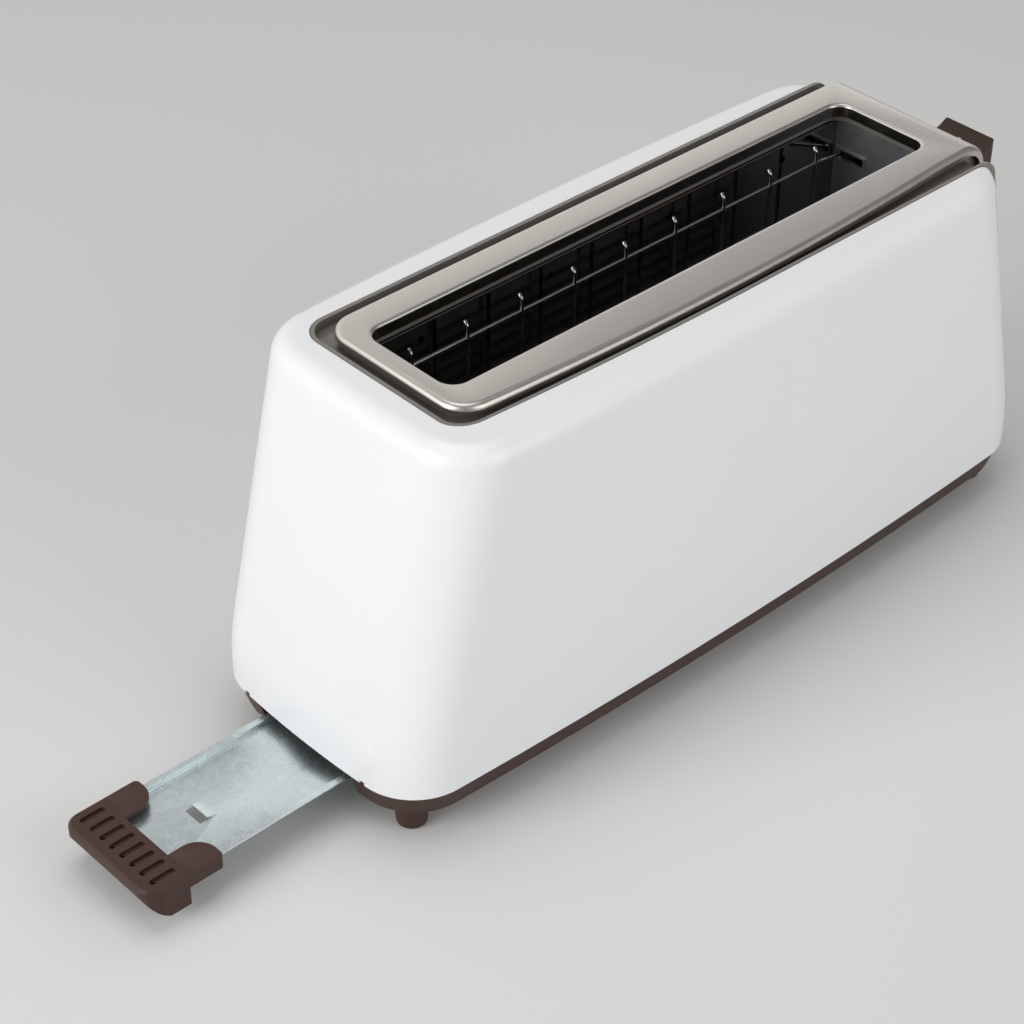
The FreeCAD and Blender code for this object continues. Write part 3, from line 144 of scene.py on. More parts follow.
# Name, place, width in metres and watts of each lamp, and the point that they face
LAMPS = (
    ("lamp_tray_end", (-1.6, 0.15, 0.75), 1.1, 16.1),
    ("lamp_front", (0.35, -1.7, 0.8), 1.3, 10.2),
    ("lamp_top", (-0.1, 0.25, 2.0), 1.4, 9),
)
LAMP_TARGET = (0, 0, 90 * MM)
# Levels of the even light, of the backdrop low behind the toaster and of the rest of the room
WORLD_LEVEL = 0.35
BACKDROP_LEVEL = 1.0
CEILING_LEVEL = 0.22
# The backdrop lies this way, and fades into the room between these values
BACKDROP_WAY = (0.0, 1.0, -0.9)
BACKDROP_FADE = (-0.05, 0.10)
# The camera's azimuth, elevation and roll in degrees
CAMERA_ANGLES = (-43.20, 37.49, 0.57)
# Its distance from the strip's tray end, from the middle plane and from the strip's top
CAMERA_OFFSET = (-492.5 * MM, -589 * MM, 524 * MM)
CAMERA_LENS, CAMERA_SENSOR = 91.34, 36

# Places of the colour sockets on a Mix node set to RGBA
COLOUR_A, COLOUR_B, COLOUR_RESULT = 6, 7, 2
# Pattern sizes in millimetres: soft changes where the plastic flowed, wear, rolling lines, mica
# flakes and their flecks, and paper fibres. Rolling lines and fibres are drawn coarser than real,
# because they are too fine to show.
FLOW_MM, WEAR_MM, ROLLING_MM, FLAKE_MM, FLECK_MM, FIBRE_MM = 45, 60, 0.8, 9, 1.5, 1.2
# The rolling lines are drawn out along X: this is their pattern's scale that way
ROLLING_STRETCH = 0.05


class ToasterShape(bpy.types.PropertyGroup):
    """Sizes of the details that are added to the parts."""

    edge_width: FloatProperty(
        name="Edge rounding", description="Width of the small rounding on moulded edges",
        default=0.35 * MM, unit="LENGTH", precision=5)
    sheet_edge_width: FloatProperty(
        name="Sheet edge rounding", description="Width of the rounding on cut sheet edges",
        default=0.12 * MM, unit="LENGTH", precision=5)
    rim_bow: FloatProperty(
        name="Rim bow",
        description="How far the channel's front edge falls back at the slot's near end",
        default=4.5 * MM, unit="LENGTH", precision=5)
    strip_bow: FloatProperty(
        name="Strip bow", description="How far the strip's front edge bows out in the middle",
        default=3.9 * MM, unit="LENGTH", precision=5)
    strip_fall: FloatProperty(
        name="Strip fall", description="How far the strip's front edge falls in the middle",
        default=1.1 * MM, unit="LENGTH", precision=5)
    first_wire: FloatProperty(
        name="First wire", description="Distance of the first guard wire from the slot's middle",
        default=113.2 * MM, unit="LENGTH", precision=5)
    last_wire: FloatProperty(
        name="Last wire", description="Distance of the last guard wire from the slot's middle",
        default=110.3 * MM, unit="LENGTH", precision=5)
    wire_count: IntProperty(
        name="Guard wires", description="Number of upright wires in a guard", default=9, min=2)
    wire_sides: IntProperty(
        name="Wire sides", description="Number of faces round a wire", default=14, min=6)
    wire_radius: FloatProperty(
        name="Wire radius", description="Radius of the guards' upright and top wires",
        default=0.8 * MM, unit="LENGTH", precision=5)
    wire_bend_radius: FloatProperty(
        name="Wire bend", description="Radius of the bends in the guards' wires",
        default=1.6 * MM, unit="LENGTH", precision=5)
    pivot_radius: FloatProperty(
        name="Pivot radius", description="Radius of the rod that a guard tilts on",
        default=1.3 * MM, unit="LENGTH", precision=5)
    pin_radius: FloatProperty(
        name="Pin radius", description="Radius of the rod that the carriage's slot leads",
        default=1.0 * MM, unit="LENGTH", precision=5)
    guard_pin_rise: FloatProperty(
        name="Pin height", description="Height of the led rod above the pivot",
        default=46 * MM, unit="LENGTH", precision=5)
    guard_top_wire_drop: FloatProperty(
        name="Top wire depth", description="Depth of the long top wire under the side sheets' top",
        default=9.4 * MM, unit="LENGTH", precision=5)
    guard_end_drop: FloatProperty(
        name="Guided end depth",
        description="Depth of the long wire's guided ends under the side sheets' top",
        default=16.2 * MM, unit="LENGTH", precision=5)
    guard_end_crank: FloatProperty(
        name="End crank", description="How far outwards the long wire's guided ends are cranked",
        default=5.4 * MM, unit="LENGTH", precision=5)
    guard_crank_room: FloatProperty(
        name="Crank room",
        description="Straight length of the long wire past the outermost uprights",
        default=3.0 * MM, unit="LENGTH", precision=5)
    end_sheet: FloatProperty(
        name="End sheet", description="Thickness of the slot's end plates",
        default=0.8 * MM, unit="LENGTH", precision=5)
    guard_bend_drop: FloatProperty(
        name="Bend depth", description="Depth of the tips' bend under the side sheets' top",
        default=4.4 * MM, unit="LENGTH", precision=5)
    guard_tip_rise: FloatProperty(
        name="Tip rise", description="Height of a wire's bent tip",
        default=2.0 * MM, unit="LENGTH", precision=5)
    guard_tip_reach: FloatProperty(
        name="Tip reach", description="How far a wire's tip bends outwards",
        default=1.7 * MM, unit="LENGTH", precision=5)
    rack_wire_radius: FloatProperty(
        name="Rack wire radius", description="Radius of the rack's outer wire",
        default=1.2 * MM, unit="LENGTH", precision=5)
    rack_cross_radius: FloatProperty(
        name="Rack cross wire radius", description="Radius of the rack's cross wires",
        default=1.0 * MM, unit="LENGTH", precision=5)
    rack_bend: FloatProperty(
        name="Rack corner", description="Bend radius of the rack's corners",
        default=2.6 * MM, unit="LENGTH", precision=5)
    rack_end_room: FloatProperty(
        name="Rack end room", description="Distance from the side sheets' end to the rack's wire",
        default=2.9 * MM, unit="LENGTH", precision=5)
    rack_neck_thickness: FloatProperty(
        name="Rack neck", description="Thickness of the tongues at the rack's ends",
        default=4.8 * MM, unit="LENGTH", precision=5)
    tick_radius: FloatProperty(
        name="Dial tick radius", description="Distance of the printed ticks from the knob's axis",
        default=12.0 * MM, unit="LENGTH", precision=5)
    tick_length: FloatProperty(
        name="Dial tick length", description="Length of one printed tick",
        default=1.0 * MM, unit="LENGTH", precision=5)
    tick_width: FloatProperty(
        name="Dial tick width", description="Width of one printed tick",
        default=0.35 * MM, unit="LENGTH", precision=5)
    number_size: FloatProperty(
        name="Dial number size", description="Height of the printed dial numbers",
        default=2.6 * MM, unit="LENGTH", precision=5)
    number_radius: FloatProperty(
        name="Dial number radius", description="Distance of the numbers from the knob's axis",
        default=14.4 * MM, unit="LENGTH", precision=5)
    dial_settings: IntProperty(
        name="Dial settings", description="Number of browning settings", default=6, min=2)
    knob_height: FloatProperty(
        name="Knob height", description="Height of the knob's grip above the strip",
        default=13.5 * MM, unit="LENGTH", precision=5)
    pointer_length: FloatProperty(
        name="Pointer length", description="Length of the line on the knob's grip",
        default=5.0 * MM, unit="LENGTH", precision=5)
    pointer_width: FloatProperty(
        name="Pointer width", description="Width of the line on the knob's grip",
        default=0.9 * MM, unit="LENGTH", precision=5)
    pointer_place: FloatProperty(
        name="Pointer place", description="Distance of the line's middle from the knob's axis",
        default=5.6 * MM, unit="LENGTH", precision=5)


class ToasterColours(bpy.types.PropertyGroup):
    """Colours of the finishes, as sRGB hex values."""

    housing: StringProperty(
        name="Housing", description="White moulded housing", default="#F1F2F4")
    brown: StringProperty(
        name="Brown", description="Base, feet, knobs and grips", default="#432E27")
    steel: StringProperty(
        name="Steel", description="Brushed top strip", default="#D2CDC6")
    bright: StringProperty(
        name="Bright sheet", description="Sheets beside the slot", default="#A2A2A6")
    # Darker than the strip's steel: painted shade on the lip inside the slot
    lip: StringProperty(
        name="Slot lip", description="Polished lip turned down into the slot", default="#A3A09C")
    end_sheet: StringProperty(
        name="End sheet", description="Plates at the slot's ends", default="#B4B6BB")
    channel: StringProperty(
        name="Channel", description="Channel round the top strip", default="#7A746E")
    wire: StringProperty(
        name="Wire", description="Plated guard and rack wires", default="#B4B4B2")
    zinc: StringProperty(
        name="Zinc", description="Crumb tray and inner sheet", default="#DAE3E5")
    floor: StringProperty(
        name="Floor", description="Studio floor", default="#E0E0DE")


def shape():
    """The sizes in the scene."""
    return bpy.context.scene.toaster_shape


def tone():
    """The colours in the scene."""
    return bpy.context.scene.toaster_colours


def colour(code):
    """Linear colour of an sRGB hex value."""
    parts = [int(code[i:i + 2], 16) / 255 for i in (1, 3, 5)]
    linear = [p / 12.92 if p <= 0.04045 else ((p + 0.055) / 1.055) ** 2.4 for p in parts]
    return (*linear, 1.0)


def shade(code, factor):
    """A lighter or darker linear colour made from an sRGB hex value."""
    red, green, blue, alpha = colour(code)
    return (min(red * factor, 1), min(green * factor, 1), min(blue * factor, 1), alpha)


def add(tree, kind, inputs=None, **settings):
    """Add a node with its settings; an input takes a value or another node's socket."""
    node = tree.nodes.new(kind)
    for name, value in settings.items():
        setattr(node, name, value)
    for socket, value in (inputs or {}).items():
        if isinstance(value, bpy.types.NodeSocket):
            tree.links.new(value, node.inputs[socket])
        else:
            node.inputs[socket].default_value = value
    return node


def new_material(name):
    """An empty node material: the material, its tree and the object coordinates."""
    material = bpy.data.materials.new(name)
    material.use_nodes = True
    material.node_tree.nodes.clear()
    place = add(material.node_tree, "ShaderNodeTexCoord").outputs["Object"]
    return material, material.node_tree, place


def finish_material(material, tree, surface, look):
    """Give the material its shader and set its plain viewport colour."""
    add(tree, "ShaderNodeOutputMaterial", {"Surface": surface.outputs[0]})
    material.diffuse_color = look
    return material


def moulded_plastic(name, code, roughness, grain_mm, grain_height_mm, mottling, coat=0.0,
                    specular=0.5):
    """Injection-moulded plastic: even colour, the tool's fine grain, soft broad gloss changes."""
    material, tree, place = new_material(name)
    grain = add(tree, "ShaderNodeTexNoise", {
        "Vector": place, "Scale": 1 / (grain_mm * MM), "Detail": 3.0, "Roughness": 0.6})
    flow = add(tree, "ShaderNodeTexNoise", {
        "Vector": place, "Scale": 1 / (FLOW_MM * MM), "Detail": 2.0})
    gloss = add(tree, "ShaderNodeMapRange", {
        "Value": flow.outputs["Fac"], "From Min": 0.1, "From Max": 0.9,
        "To Min": roughness - mottling, "To Max": roughness + mottling})
    tint = add(tree, "ShaderNodeMix", {
        0: flow.outputs["Fac"], COLOUR_A: shade(code, 0.992), COLOUR_B: shade(code, 1.008)},
        data_type="RGBA")
    bump = add(tree, "ShaderNodeBump", {
        "Height": grain.outputs["Fac"], "Distance": grain_height_mm * MM, "Strength": 0.6})
    surface = add(tree, "ShaderNodeBsdfPrincipled", {
        "Base Color": tint.outputs[COLOUR_RESULT], "Roughness": gloss.outputs["Result"],
        "IOR": 1.5, "Specular IOR Level": specular, "Coat Weight": coat, "Coat Roughness": 0.08,
        "Normal": bump.outputs["Normal"]})
    return finish_material(material, tree, surface, colour(code))


def brushed_metal(name, code, roughness, stroke_mm, line_mm, anisotropic=0.0):
    """Brushed stainless sheet: long fine strokes along X that streak the gloss."""
    material, tree, place = new_material(name)
    along = add(tree, "ShaderNodeMapping", {
        "Vector": place, "Scale": (line_mm / stroke_mm, 1.0, 1.0)})
    strokes = add(tree, "ShaderNodeTexNoise", {
        "Vector": along.outputs[0], "Scale": 1 / (line_mm * MM), "Detail": 4.0,
        "Roughness": 0.65})
    wear = add(tree, "ShaderNodeTexNoise", {
        "Vector": place, "Scale": 1 / (WEAR_MM * MM), "Detail": 2.0})
    streak = add(tree, "ShaderNodeMapRange", {
        "Value": strokes.outputs["Fac"], "From Min": 0.25, "From Max": 0.75,
        "To Min": roughness - 0.07, "To Max": roughness + 0.09})
    blend = add(tree, "ShaderNodeMath", {0: strokes.outputs["Fac"], 1: wear.outputs["Fac"]},
                operation="MULTIPLY")
    tint = add(tree, "ShaderNodeMix", {
        0: blend.outputs[0], COLOUR_A: shade(code, 0.90), COLOUR_B: shade(code, 1.12)},
        data_type="RGBA")
    bump = add(tree, "ShaderNodeBump", {
        "Height": strokes.outputs["Fac"], "Distance": 0.02 * MM, "Strength": 0.35})
    surface = add(tree, "ShaderNodeBsdfPrincipled", {
        "Base Color": tint.outputs[COLOUR_RESULT], "Metallic": 1.0,
        "Roughness": streak.outputs["Result"], "Anisotropic": anisotropic,
        "Normal": bump.outputs["Normal"]})
    return finish_material(material, tree, surface, colour(code))


def plain_metal(name, code, roughness, mark_mm, spread=0.05, metallic=1.0):
    """Drawn, rolled or plated metal: faint handling marks and small changes of gloss."""
    material, tree, place = new_material(name)
    marks = add(tree, "ShaderNodeTexNoise", {
        "Vector": place, "Scale": 1 / (mark_mm * MM), "Detail": 5.0, "Roughness": 0.7})
    gloss = add(tree, "ShaderNodeMapRange", {
        "Value": marks.outputs["Fac"], "From Min": 0.3, "From Max": 0.7,
        "To Min": max(roughness - spread, 0.02), "To Max": roughness + spread})
    tint = add(tree, "ShaderNodeMix", {
        0: marks.outputs["Fac"], COLOUR_A: shade(code, 0.86), COLOUR_B: shade(code, 1.1)},
        data_type="RGBA")
    bump = add(tree, "ShaderNodeBump", {
        "Height": marks.outputs["Fac"], "Distance": 0.03 * MM, "Strength": 0.25})
    surface = add(tree, "ShaderNodeBsdfPrincipled", {
        "Base Color": tint.outputs[COLOUR_RESULT], "Metallic": metallic,
        "Roughness": gloss.outputs["Result"], "Normal": bump.outputs["Normal"]})
    return finish_material(material, tree, surface, colour(code))


def galvanised_sheet(name, code, roughness, spangle_mm):
    """Hot-dip galvanised steel: zinc crystals that differ a little in colour and gloss."""
    material, tree, place = new_material(name)
    spangle = add(tree, "ShaderNodeTexVoronoi", {
        "Vector": place, "Scale": 1 / (spangle_mm * MM)})
    crystal = add(tree, "ShaderNodeSeparateColor", {"Color": spangle.outputs["Color"]})
    rolling = add(tree, "ShaderNodeMapping", {
        "Vector": place, "Scale": (ROLLING_STRETCH, 1.0, 1.0)})
    lines = add(tree, "ShaderNodeTexNoise", {
        "Vector": rolling.outputs[0], "Scale": 1 / (ROLLING_MM * MM), "Detail": 3.0})
    mixed = add(tree, "ShaderNodeMath", {0: crystal.outputs["Red"], 1: lines.outputs["Fac"]},
                operation="MULTIPLY")
    gloss = add(tree, "ShaderNodeMapRange", {
        "Value": mixed.outputs[0], "From Min": 0.0, "From Max": 0.6,
        "To Min": roughness - 0.03, "To Max": roughness + 0.03})
    tint = add(tree, "ShaderNodeMix", {
        0: mixed.outputs[0], COLOUR_A: shade(code, 0.95), COLOUR_B: shade(code, 1.05)},
        data_type="RGBA")
    bump = add(tree, "ShaderNodeBump", {
        "Height": lines.outputs["Fac"], "Distance": 0.02 * MM, "Strength": 0.15})
    # Zinc's own film of oxide makes it a little less than fully metallic
    surface = add(tree, "ShaderNodeBsdfPrincipled", {
        "Base Color": tint.outputs[COLOUR_RESULT], "Metallic": 0.9,
        "Roughness": gloss.outputs["Result"], "Normal": bump.outputs["Normal"]})
    return finish_material(material, tree, surface, colour(code))


def mica_sheet(name, code):
    """Pressed mica board: overlapping pale flakes with a pearly gloss."""
    material, tree, place = new_material(name)
    flakes = add(tree, "ShaderNodeTexVoronoi", {
        "Vector": place, "Scale": 1 / (FLAKE_MM * MM), "Randomness": 1.0})
    flake = add(tree, "ShaderNodeSeparateColor", {"Color": flakes.outputs["Color"]})
    flecks = add(tree, "ShaderNodeTexNoise", {
        "Vector": place, "Scale": 1 / (FLECK_MM * MM), "Detail": 4.0})
    mixed = add(tree, "ShaderNodeMath", {0: flake.outputs["Red"], 1: flecks.outputs["Fac"]},
                operation="MULTIPLY")
    tint = add(tree, "ShaderNodeMix", {
        0: mixed.outputs[0], COLOUR_A: shade(code, 0.75), COLOUR_B: shade(code, 1.25)},
        data_type="RGBA")
    gloss = add(tree, "ShaderNodeMapRange", {
        "Value": flake.outputs["Green"], "To Min": 0.3, "To Max": 0.55})
    surface = add(tree, "ShaderNodeBsdfPrincipled", {
        "Base Color": tint.outputs[COLOUR_RESULT], "Roughness": gloss.outputs["Result"],
        "IOR": 1.58, "Coat Weight": 0.2, "Coat Roughness": 0.2})
    return finish_material(material, tree, surface, colour(code))


def studio_floor(name, code):
    """Matt paper floor, pale and without gloss, so that it keeps only the soft shadow."""
    material, tree, place = new_material(name)
    fibre = add(tree, "ShaderNodeTexNoise", {
        "Vector": place, "Scale": 1 / (FIBRE_MM * MM), "Detail": 3.0})
    tint = add(tree, "ShaderNodeMix", {
        0: fibre.outputs["Fac"], COLOUR_A: shade(code, 0.99), COLOUR_B: shade(code, 1.01)},
        data_type="RGBA")
    surface = add(tree, "ShaderNodeBsdfDiffuse", {"Color": tint.outputs[COLOUR_RESULT]})
    return finish_material(material, tree, surface, colour(code))


FINISHES = {}


def make_finishes():
    """All finishes of the toaster, under the record's slot names or their own.

    A pattern that a comment calls coarse is finer on the real thing than the render can show.
    """
    t = tone()
    FINISHES.update({
        # ABS from a polished mould: wide soft lights over a faint coarse ripple
        "white_plastic": moulded_plastic(
            "glossy_white_abs", t.housing, roughness=0.30, grain_mm=0.9, grain_height_mm=0.012,
            mottling=0.03, coat=0.10),
        # Polypropylene from an etched mould: dull and dark, with a coarse grain
        "brown_plastic": moulded_plastic(
            "brown_moulded_polypropylene", t.brown, roughness=0.46, grain_mm=0.35,
            grain_height_mm=0.03, mottling=0.05, specular=0.3),
        # Stainless sheet brushed lengthwise: coarse streaks that spread the lights across them
        "brushed_steel": brushed_metal(
            "brushed_stainless_strip", t.steel, roughness=0.33, stroke_mm=22.0, line_mm=0.35,
            anisotropic=0.4),
        # Steel from polished rolls: nearly a mirror, with wide faint clouds
        "bright_sheet": plain_metal(
            "bright_rolled_sheet", t.bright, roughness=0.07, mark_mm=14.0, spread=0.02),
        # The strip's turned lip, smooth and not brushed: it takes up the slot's dark, and its grey,
        # darker than the strip's steel, is painted shade of the slot
        "slot_lip_painted_shade": plain_metal(
            "polished_strip_lip_painted_shade", t.lip, roughness=0.22, mark_mm=6.0, spread=0.03),
        # Plain rolled sheet: dull soft lights under a thin film
        "end_sheet": plain_metal(
            "rolled_end_sheet", t.end_sheet, roughness=0.38, mark_mm=9.0, spread=0.04,
            metallic=0.87),
        # Plastic from a polished mould: clear narrow lights, with a coarse faint grain
        "channel": moulded_plastic(
            "glossy_channel_plastic", t.channel, roughness=0.22, grain_mm=0.35,
            grain_height_mm=0.01, mottling=0.04),
        # Nickel on drawn wire: small bright lights along each wire
        "plated_wire": plain_metal("nickel_plated_wire", t.wire, roughness=0.16, mark_mm=3.0),
        # Steel dipped in zinc: crystals of real size, each in its own grey
        "zinc_sheet": galvanised_sheet(
            "galvanised_steel_sheet", t.zinc, roughness=0.27, spangle_mm=2.6),
        # Mica flakes pressed to a board: mottled and pearly
        "mica": mica_sheet("pressed_mica_board", "#827B70"),
        # Resistance alloy that has been hot: grey and dull
        "heater_ribbon": plain_metal(
            "oxidised_resistance_ribbon", "#6E6A66", roughness=0.42, mark_mm=2.0),
        # Copper wire under clear enamel: warm, with short lights
        "copper_winding": plain_metal(
            "enamelled_copper_winding", "#B4683A", roughness=0.3, mark_mm=0.5),
        # Stacked iron sheets: dark and dull
        "core_iron": plain_metal("laminated_iron", "#5B5B5D", roughness=0.5, mark_mm=1.0),
        # Glass-filled board under green lacquer: even and half glossy
        "board_green": moulded_plastic(
            "green_circuit_board", "#1F5A31", roughness=0.35, grain_mm=0.6,
            grain_height_mm=0.02, mottling=0.05),
        # Nylon from an etched mould: black and dull, with a coarse grain
        "black_plastic": moulded_plastic(
            "black_moulded_nylon", "#1C1C1D", roughness=0.45, grain_mm=0.4,
            grain_height_mm=0.03, mottling=0.06),
        # Moulding compound filled with ceramic: ivory, like unglazed china
        "ivory_plastic": moulded_plastic(
            "ivory_ceramic_filled_plastic", "#DCD3B8", roughness=0.4, grain_mm=0.5,
            grain_height_mm=0.03, mottling=0.05),
        # Bare drawn steel: a grey light on each turn
        "spring_wire": plain_metal("drawn_spring_wire", "#8C8C8E", roughness=0.3, mark_mm=1.5),
        # Pad-printed ink: thin, dark and flat
        "print": moulded_plastic(
            "dark_dial_print", "#3A302D", roughness=0.5, grain_mm=0.3, grain_height_mm=0.005,
            mottling=0.03),
    })


# Parts whose finish is their own variety of their slot's
OWN_FINISH = {
    "top_bezel": "channel",
    "chamber_end_near": "end_sheet",
    "chamber_end_far": "end_sheet",
}


def finish_of(node):
    """A part's finish: its slot's in the record, or its own variety of it."""
    return OWN_FINISH.get(node, SLOTS[node])


def dress_nodes():
    """Every carried-over part takes its finish."""
    for name, obj in NODES.items():
        finish = FINISHES[finish_of(name)]
        obj.data.materials.clear()
        obj.data.materials.append(finish)


def seat(obj, body):
    """Give a finished piece its body."""
    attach(obj, body)
    return obj


def piece_from(bm, name, slot_name, body, finish=None, smooth_angle=PIECE_SHARP):
    """A new object from a bmesh, with its finish, smooth faces and body."""
    mesh = bpy.data.meshes.new(name)
    bm.to_mesh(mesh)
    bm.free()
    mesh.shade_smooth()
    mesh.set_sharp_from_angle(angle=smooth_angle)
    mesh.materials.append(FINISHES[finish or slot_name])
    obj = bpy.data.objects.new(name, mesh)
    bpy.context.scene.collection.objects.link(obj)
    return seat(obj, body)


def share(value, start, end):
    """How far a value has come from start to end, from 0 to 1."""
    return min(max((value - start) / (end - start), 0.0), 1.0)


def cut_across(bm, places):
    """Cut all faces at these places along X, so that they can be bent between them."""
    for place in places:
        bmesh.ops.bisect_plane(bm, geom=bm.verts[:] + bm.edges[:] + bm.faces[:], dist=FINE_MERGE,
                               plane_co=(place, 0, 0), plane_no=(1, 0, 0))


def front_leg_share(vert):
    """How fully a point follows the bow of the strip's front leg, from 0 to 1."""
    bulge = max(1 - ((vert.co.x - SLOT_MIDDLE) / SLOT_HALF.x) ** 2, 0)
    return bulge * share(-vert.co.y, SLOT_HALF.y, STRIP_EDGE - STRIP_FOLD)


def bow_channel(bm):
    """Front edge of the channel and the housing's rim, which falls back towards the tray end.

    The wall that carries the strip's front leg goes down with it.
    """
    def inside(vert):
        """Whether a point is in the front half of the room for the channel."""
        x, y, z = vert.co
        return RECESS_LOW.x < x and RECESS_LOW.y < y < 0 and z > RECESS_LOW.z

    long_edges = [edge for edge in bm.edges if all(inside(vert) for vert in edge.verts)
                  and abs((edge.verts[0].co - edge.verts[1].co).x) > LONG_EDGE]
    bmesh.ops.subdivide_edges(bm, edges=long_edges, cuts=LONG_EDGE_CUTS)
    for vert in bm.verts:
        if inside(vert):
            away = min(vert.co.x - SLOT_MIDDLE, 0) / SLOT_REACH
            weight = share(-vert.co.y, SLOT_HALF.y, -RECESS_LOW.y - RIM_MARGIN)
            if -vert.co.y < STRIP_EDGE:
                vert.co.z -= shape().strip_fall * front_leg_share(vert)
            vert.co.y += shape().rim_bow * away * away * weight


def bow_strip(bm):
    """Front edge of the strip, which bows out and falls in the middle; its fold keeps its form."""
    first = SLOT_MIDDLE - SLOT_HALF.x - STRIP_CUT_START
    count = int((SLOT_HALF.x * 2 + STRIP_CUT_ROOM) / STRIP_CUT_STEP)
    cut_across(bm, [first + STRIP_CUT_STEP * k for k in range(count)])
    for vert in bm.verts:
        part = front_leg_share(vert)
        vert.co.y -= shape().strip_bow * part
        vert.co.z -= shape().strip_fall * part


def rounded_copy(node, name, width, reshape=None):
    """Stand-in for a part with a small rounding on its sharp edges, which catches the light."""
    bm = bmesh.new()
    bm.from_mesh(NODES[node].data)
    bmesh.ops.remove_doubles(bm, verts=bm.verts, dist=PART_MERGE)
    bmesh.ops.dissolve_limit(bm, angle_limit=FLAT_ANGLE, verts=bm.verts, edges=bm.edges)
    if reshape:
        reshape(bm)
    body = body_of(NODES[node])[0]
    obj = piece_from(bm, name, SLOTS[node], body, finish=finish_of(node),
                     smooth_angle=ROUNDED_SHARP)
    bevel = obj.modifiers.new("small_rounding", "BEVEL")
    bevel.width = width
    bevel.segments = 2
    bevel.limit_method = "ANGLE"
    bevel.angle_limit = ROUNDED_SHARP
    bevel.harden_normals = True
    bevel.use_clamp_overlap = True
    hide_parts(node)
    return obj


def polish_lip(strip):
    """The strip's lip inside the slot is left polished, so it shows the dark of the slot, and takes
    a darker grey than the strip as painted shade.
    """
    mesh = strip.data
    mesh.materials.append(FINISHES["slot_lip_painted_shade"])
    top = max(vert.co.z for vert in mesh.vertices)
    for face in mesh.polygons:
        x, y, z = face.center
        in_slot = (abs(x - SLOT_MIDDLE) < SLOT_HALF.x + LIP_MARGIN
                   and abs(y) < SLOT_HALF.y + LIP_MARGIN)
        if in_slot and z < top - LIP_DEPTH:
            face.material_index = 1


def edges_of(verts):
    """The edges at some points, each once, in an order that is the same each run."""
    return list(dict.fromkeys(edge for vert in verts for edge in vert.link_edges))


def ring(bm, centre, radius, facing, sides):
    """A loop of edges round a wire's line at a point; facing is the line's direction."""
    turn = Vector((0, 0, 1)).rotation_difference(facing).to_matrix().to_4x4()
    made = bmesh.ops.create_circle(bm, segments=sides, radius=radius,
                                   matrix=Matrix.Translation(centre) @ turn)
    return edges_of(made["verts"])


def run_on(bm, edges, way):
    """Carry a wire's loop straight on."""
    made = bmesh.ops.extrude_edge_only(bm, edges=edges)["geom"]
    verts = [part for part in made if isinstance(part, bmesh.types.BMVert)]
    bmesh.ops.translate(bm, vec=way, verts=verts)
    return [part for part in made if isinstance(part, bmesh.types.BMEdge)]


def bend_on(bm, edges, centre, axis, angle, steps):
    """Carry a wire's loop round a bend."""
    geom = list(dict.fromkeys(vert for edge in edges for vert in edge.verts)) + edges
    made = bmesh.ops.spin(bm, geom=geom, cent=centre, axis=axis, angle=angle, steps=steps,
                          use_merge=False, use_duplicate=False)["geom_last"]
    return [part for part in made if isinstance(part, bmesh.types.BMEdge)]


def close_end(bm, edges, edge_width):
    """Close a wire's cut end with a slightly rounded face."""
    cap = bmesh.ops.contextual_create(bm, geom=edges)["faces"]
    bmesh.ops.bevel(bm, geom=[edge for face in cap for edge in face.edges], offset=edge_width,
                    offset_type="OFFSET", affect="EDGES", segments=2, profile=0.5, material=-1)


def bent_wire(bm, points, radius, bend, sides):
    """A wire along straight runs with round bends between them."""
    ways = [(b - a).normalized() for a, b in zip(points, points[1:])]
    at = points[0]
    first = ring(bm, at, radius, ways[0], sides)
    last = first
    for corner, way, turned in zip(points[1:], ways, ways[1:]):
        angle = way.angle(turned)
        axis = way.cross(turned).normalized()
        tangent = bend * math.tan(angle / 2)
        start = corner - way * tangent
        last = run_on(bm, last, start - at)
        last = bend_on(bm, last, start + axis.cross(way) * bend, axis, angle, WIRE_BEND_STEPS)
        at = corner + turned * tangent
    last = run_on(bm, last, points[-1] - at)
    close_end(bm, last, radius * WIRE_END_SHARE)
    close_end(bm, first, radius * WIRE_END_SHARE)


def wire_places():
    """The places along X of the guards' and rack's cross wires."""
    s = shape()
    pitch = (s.first_wire + s.last_wire) / (s.wire_count - 1)
    return [SLOT_MIDDLE - s.first_wire + pitch * k for k in range(s.wire_count)]


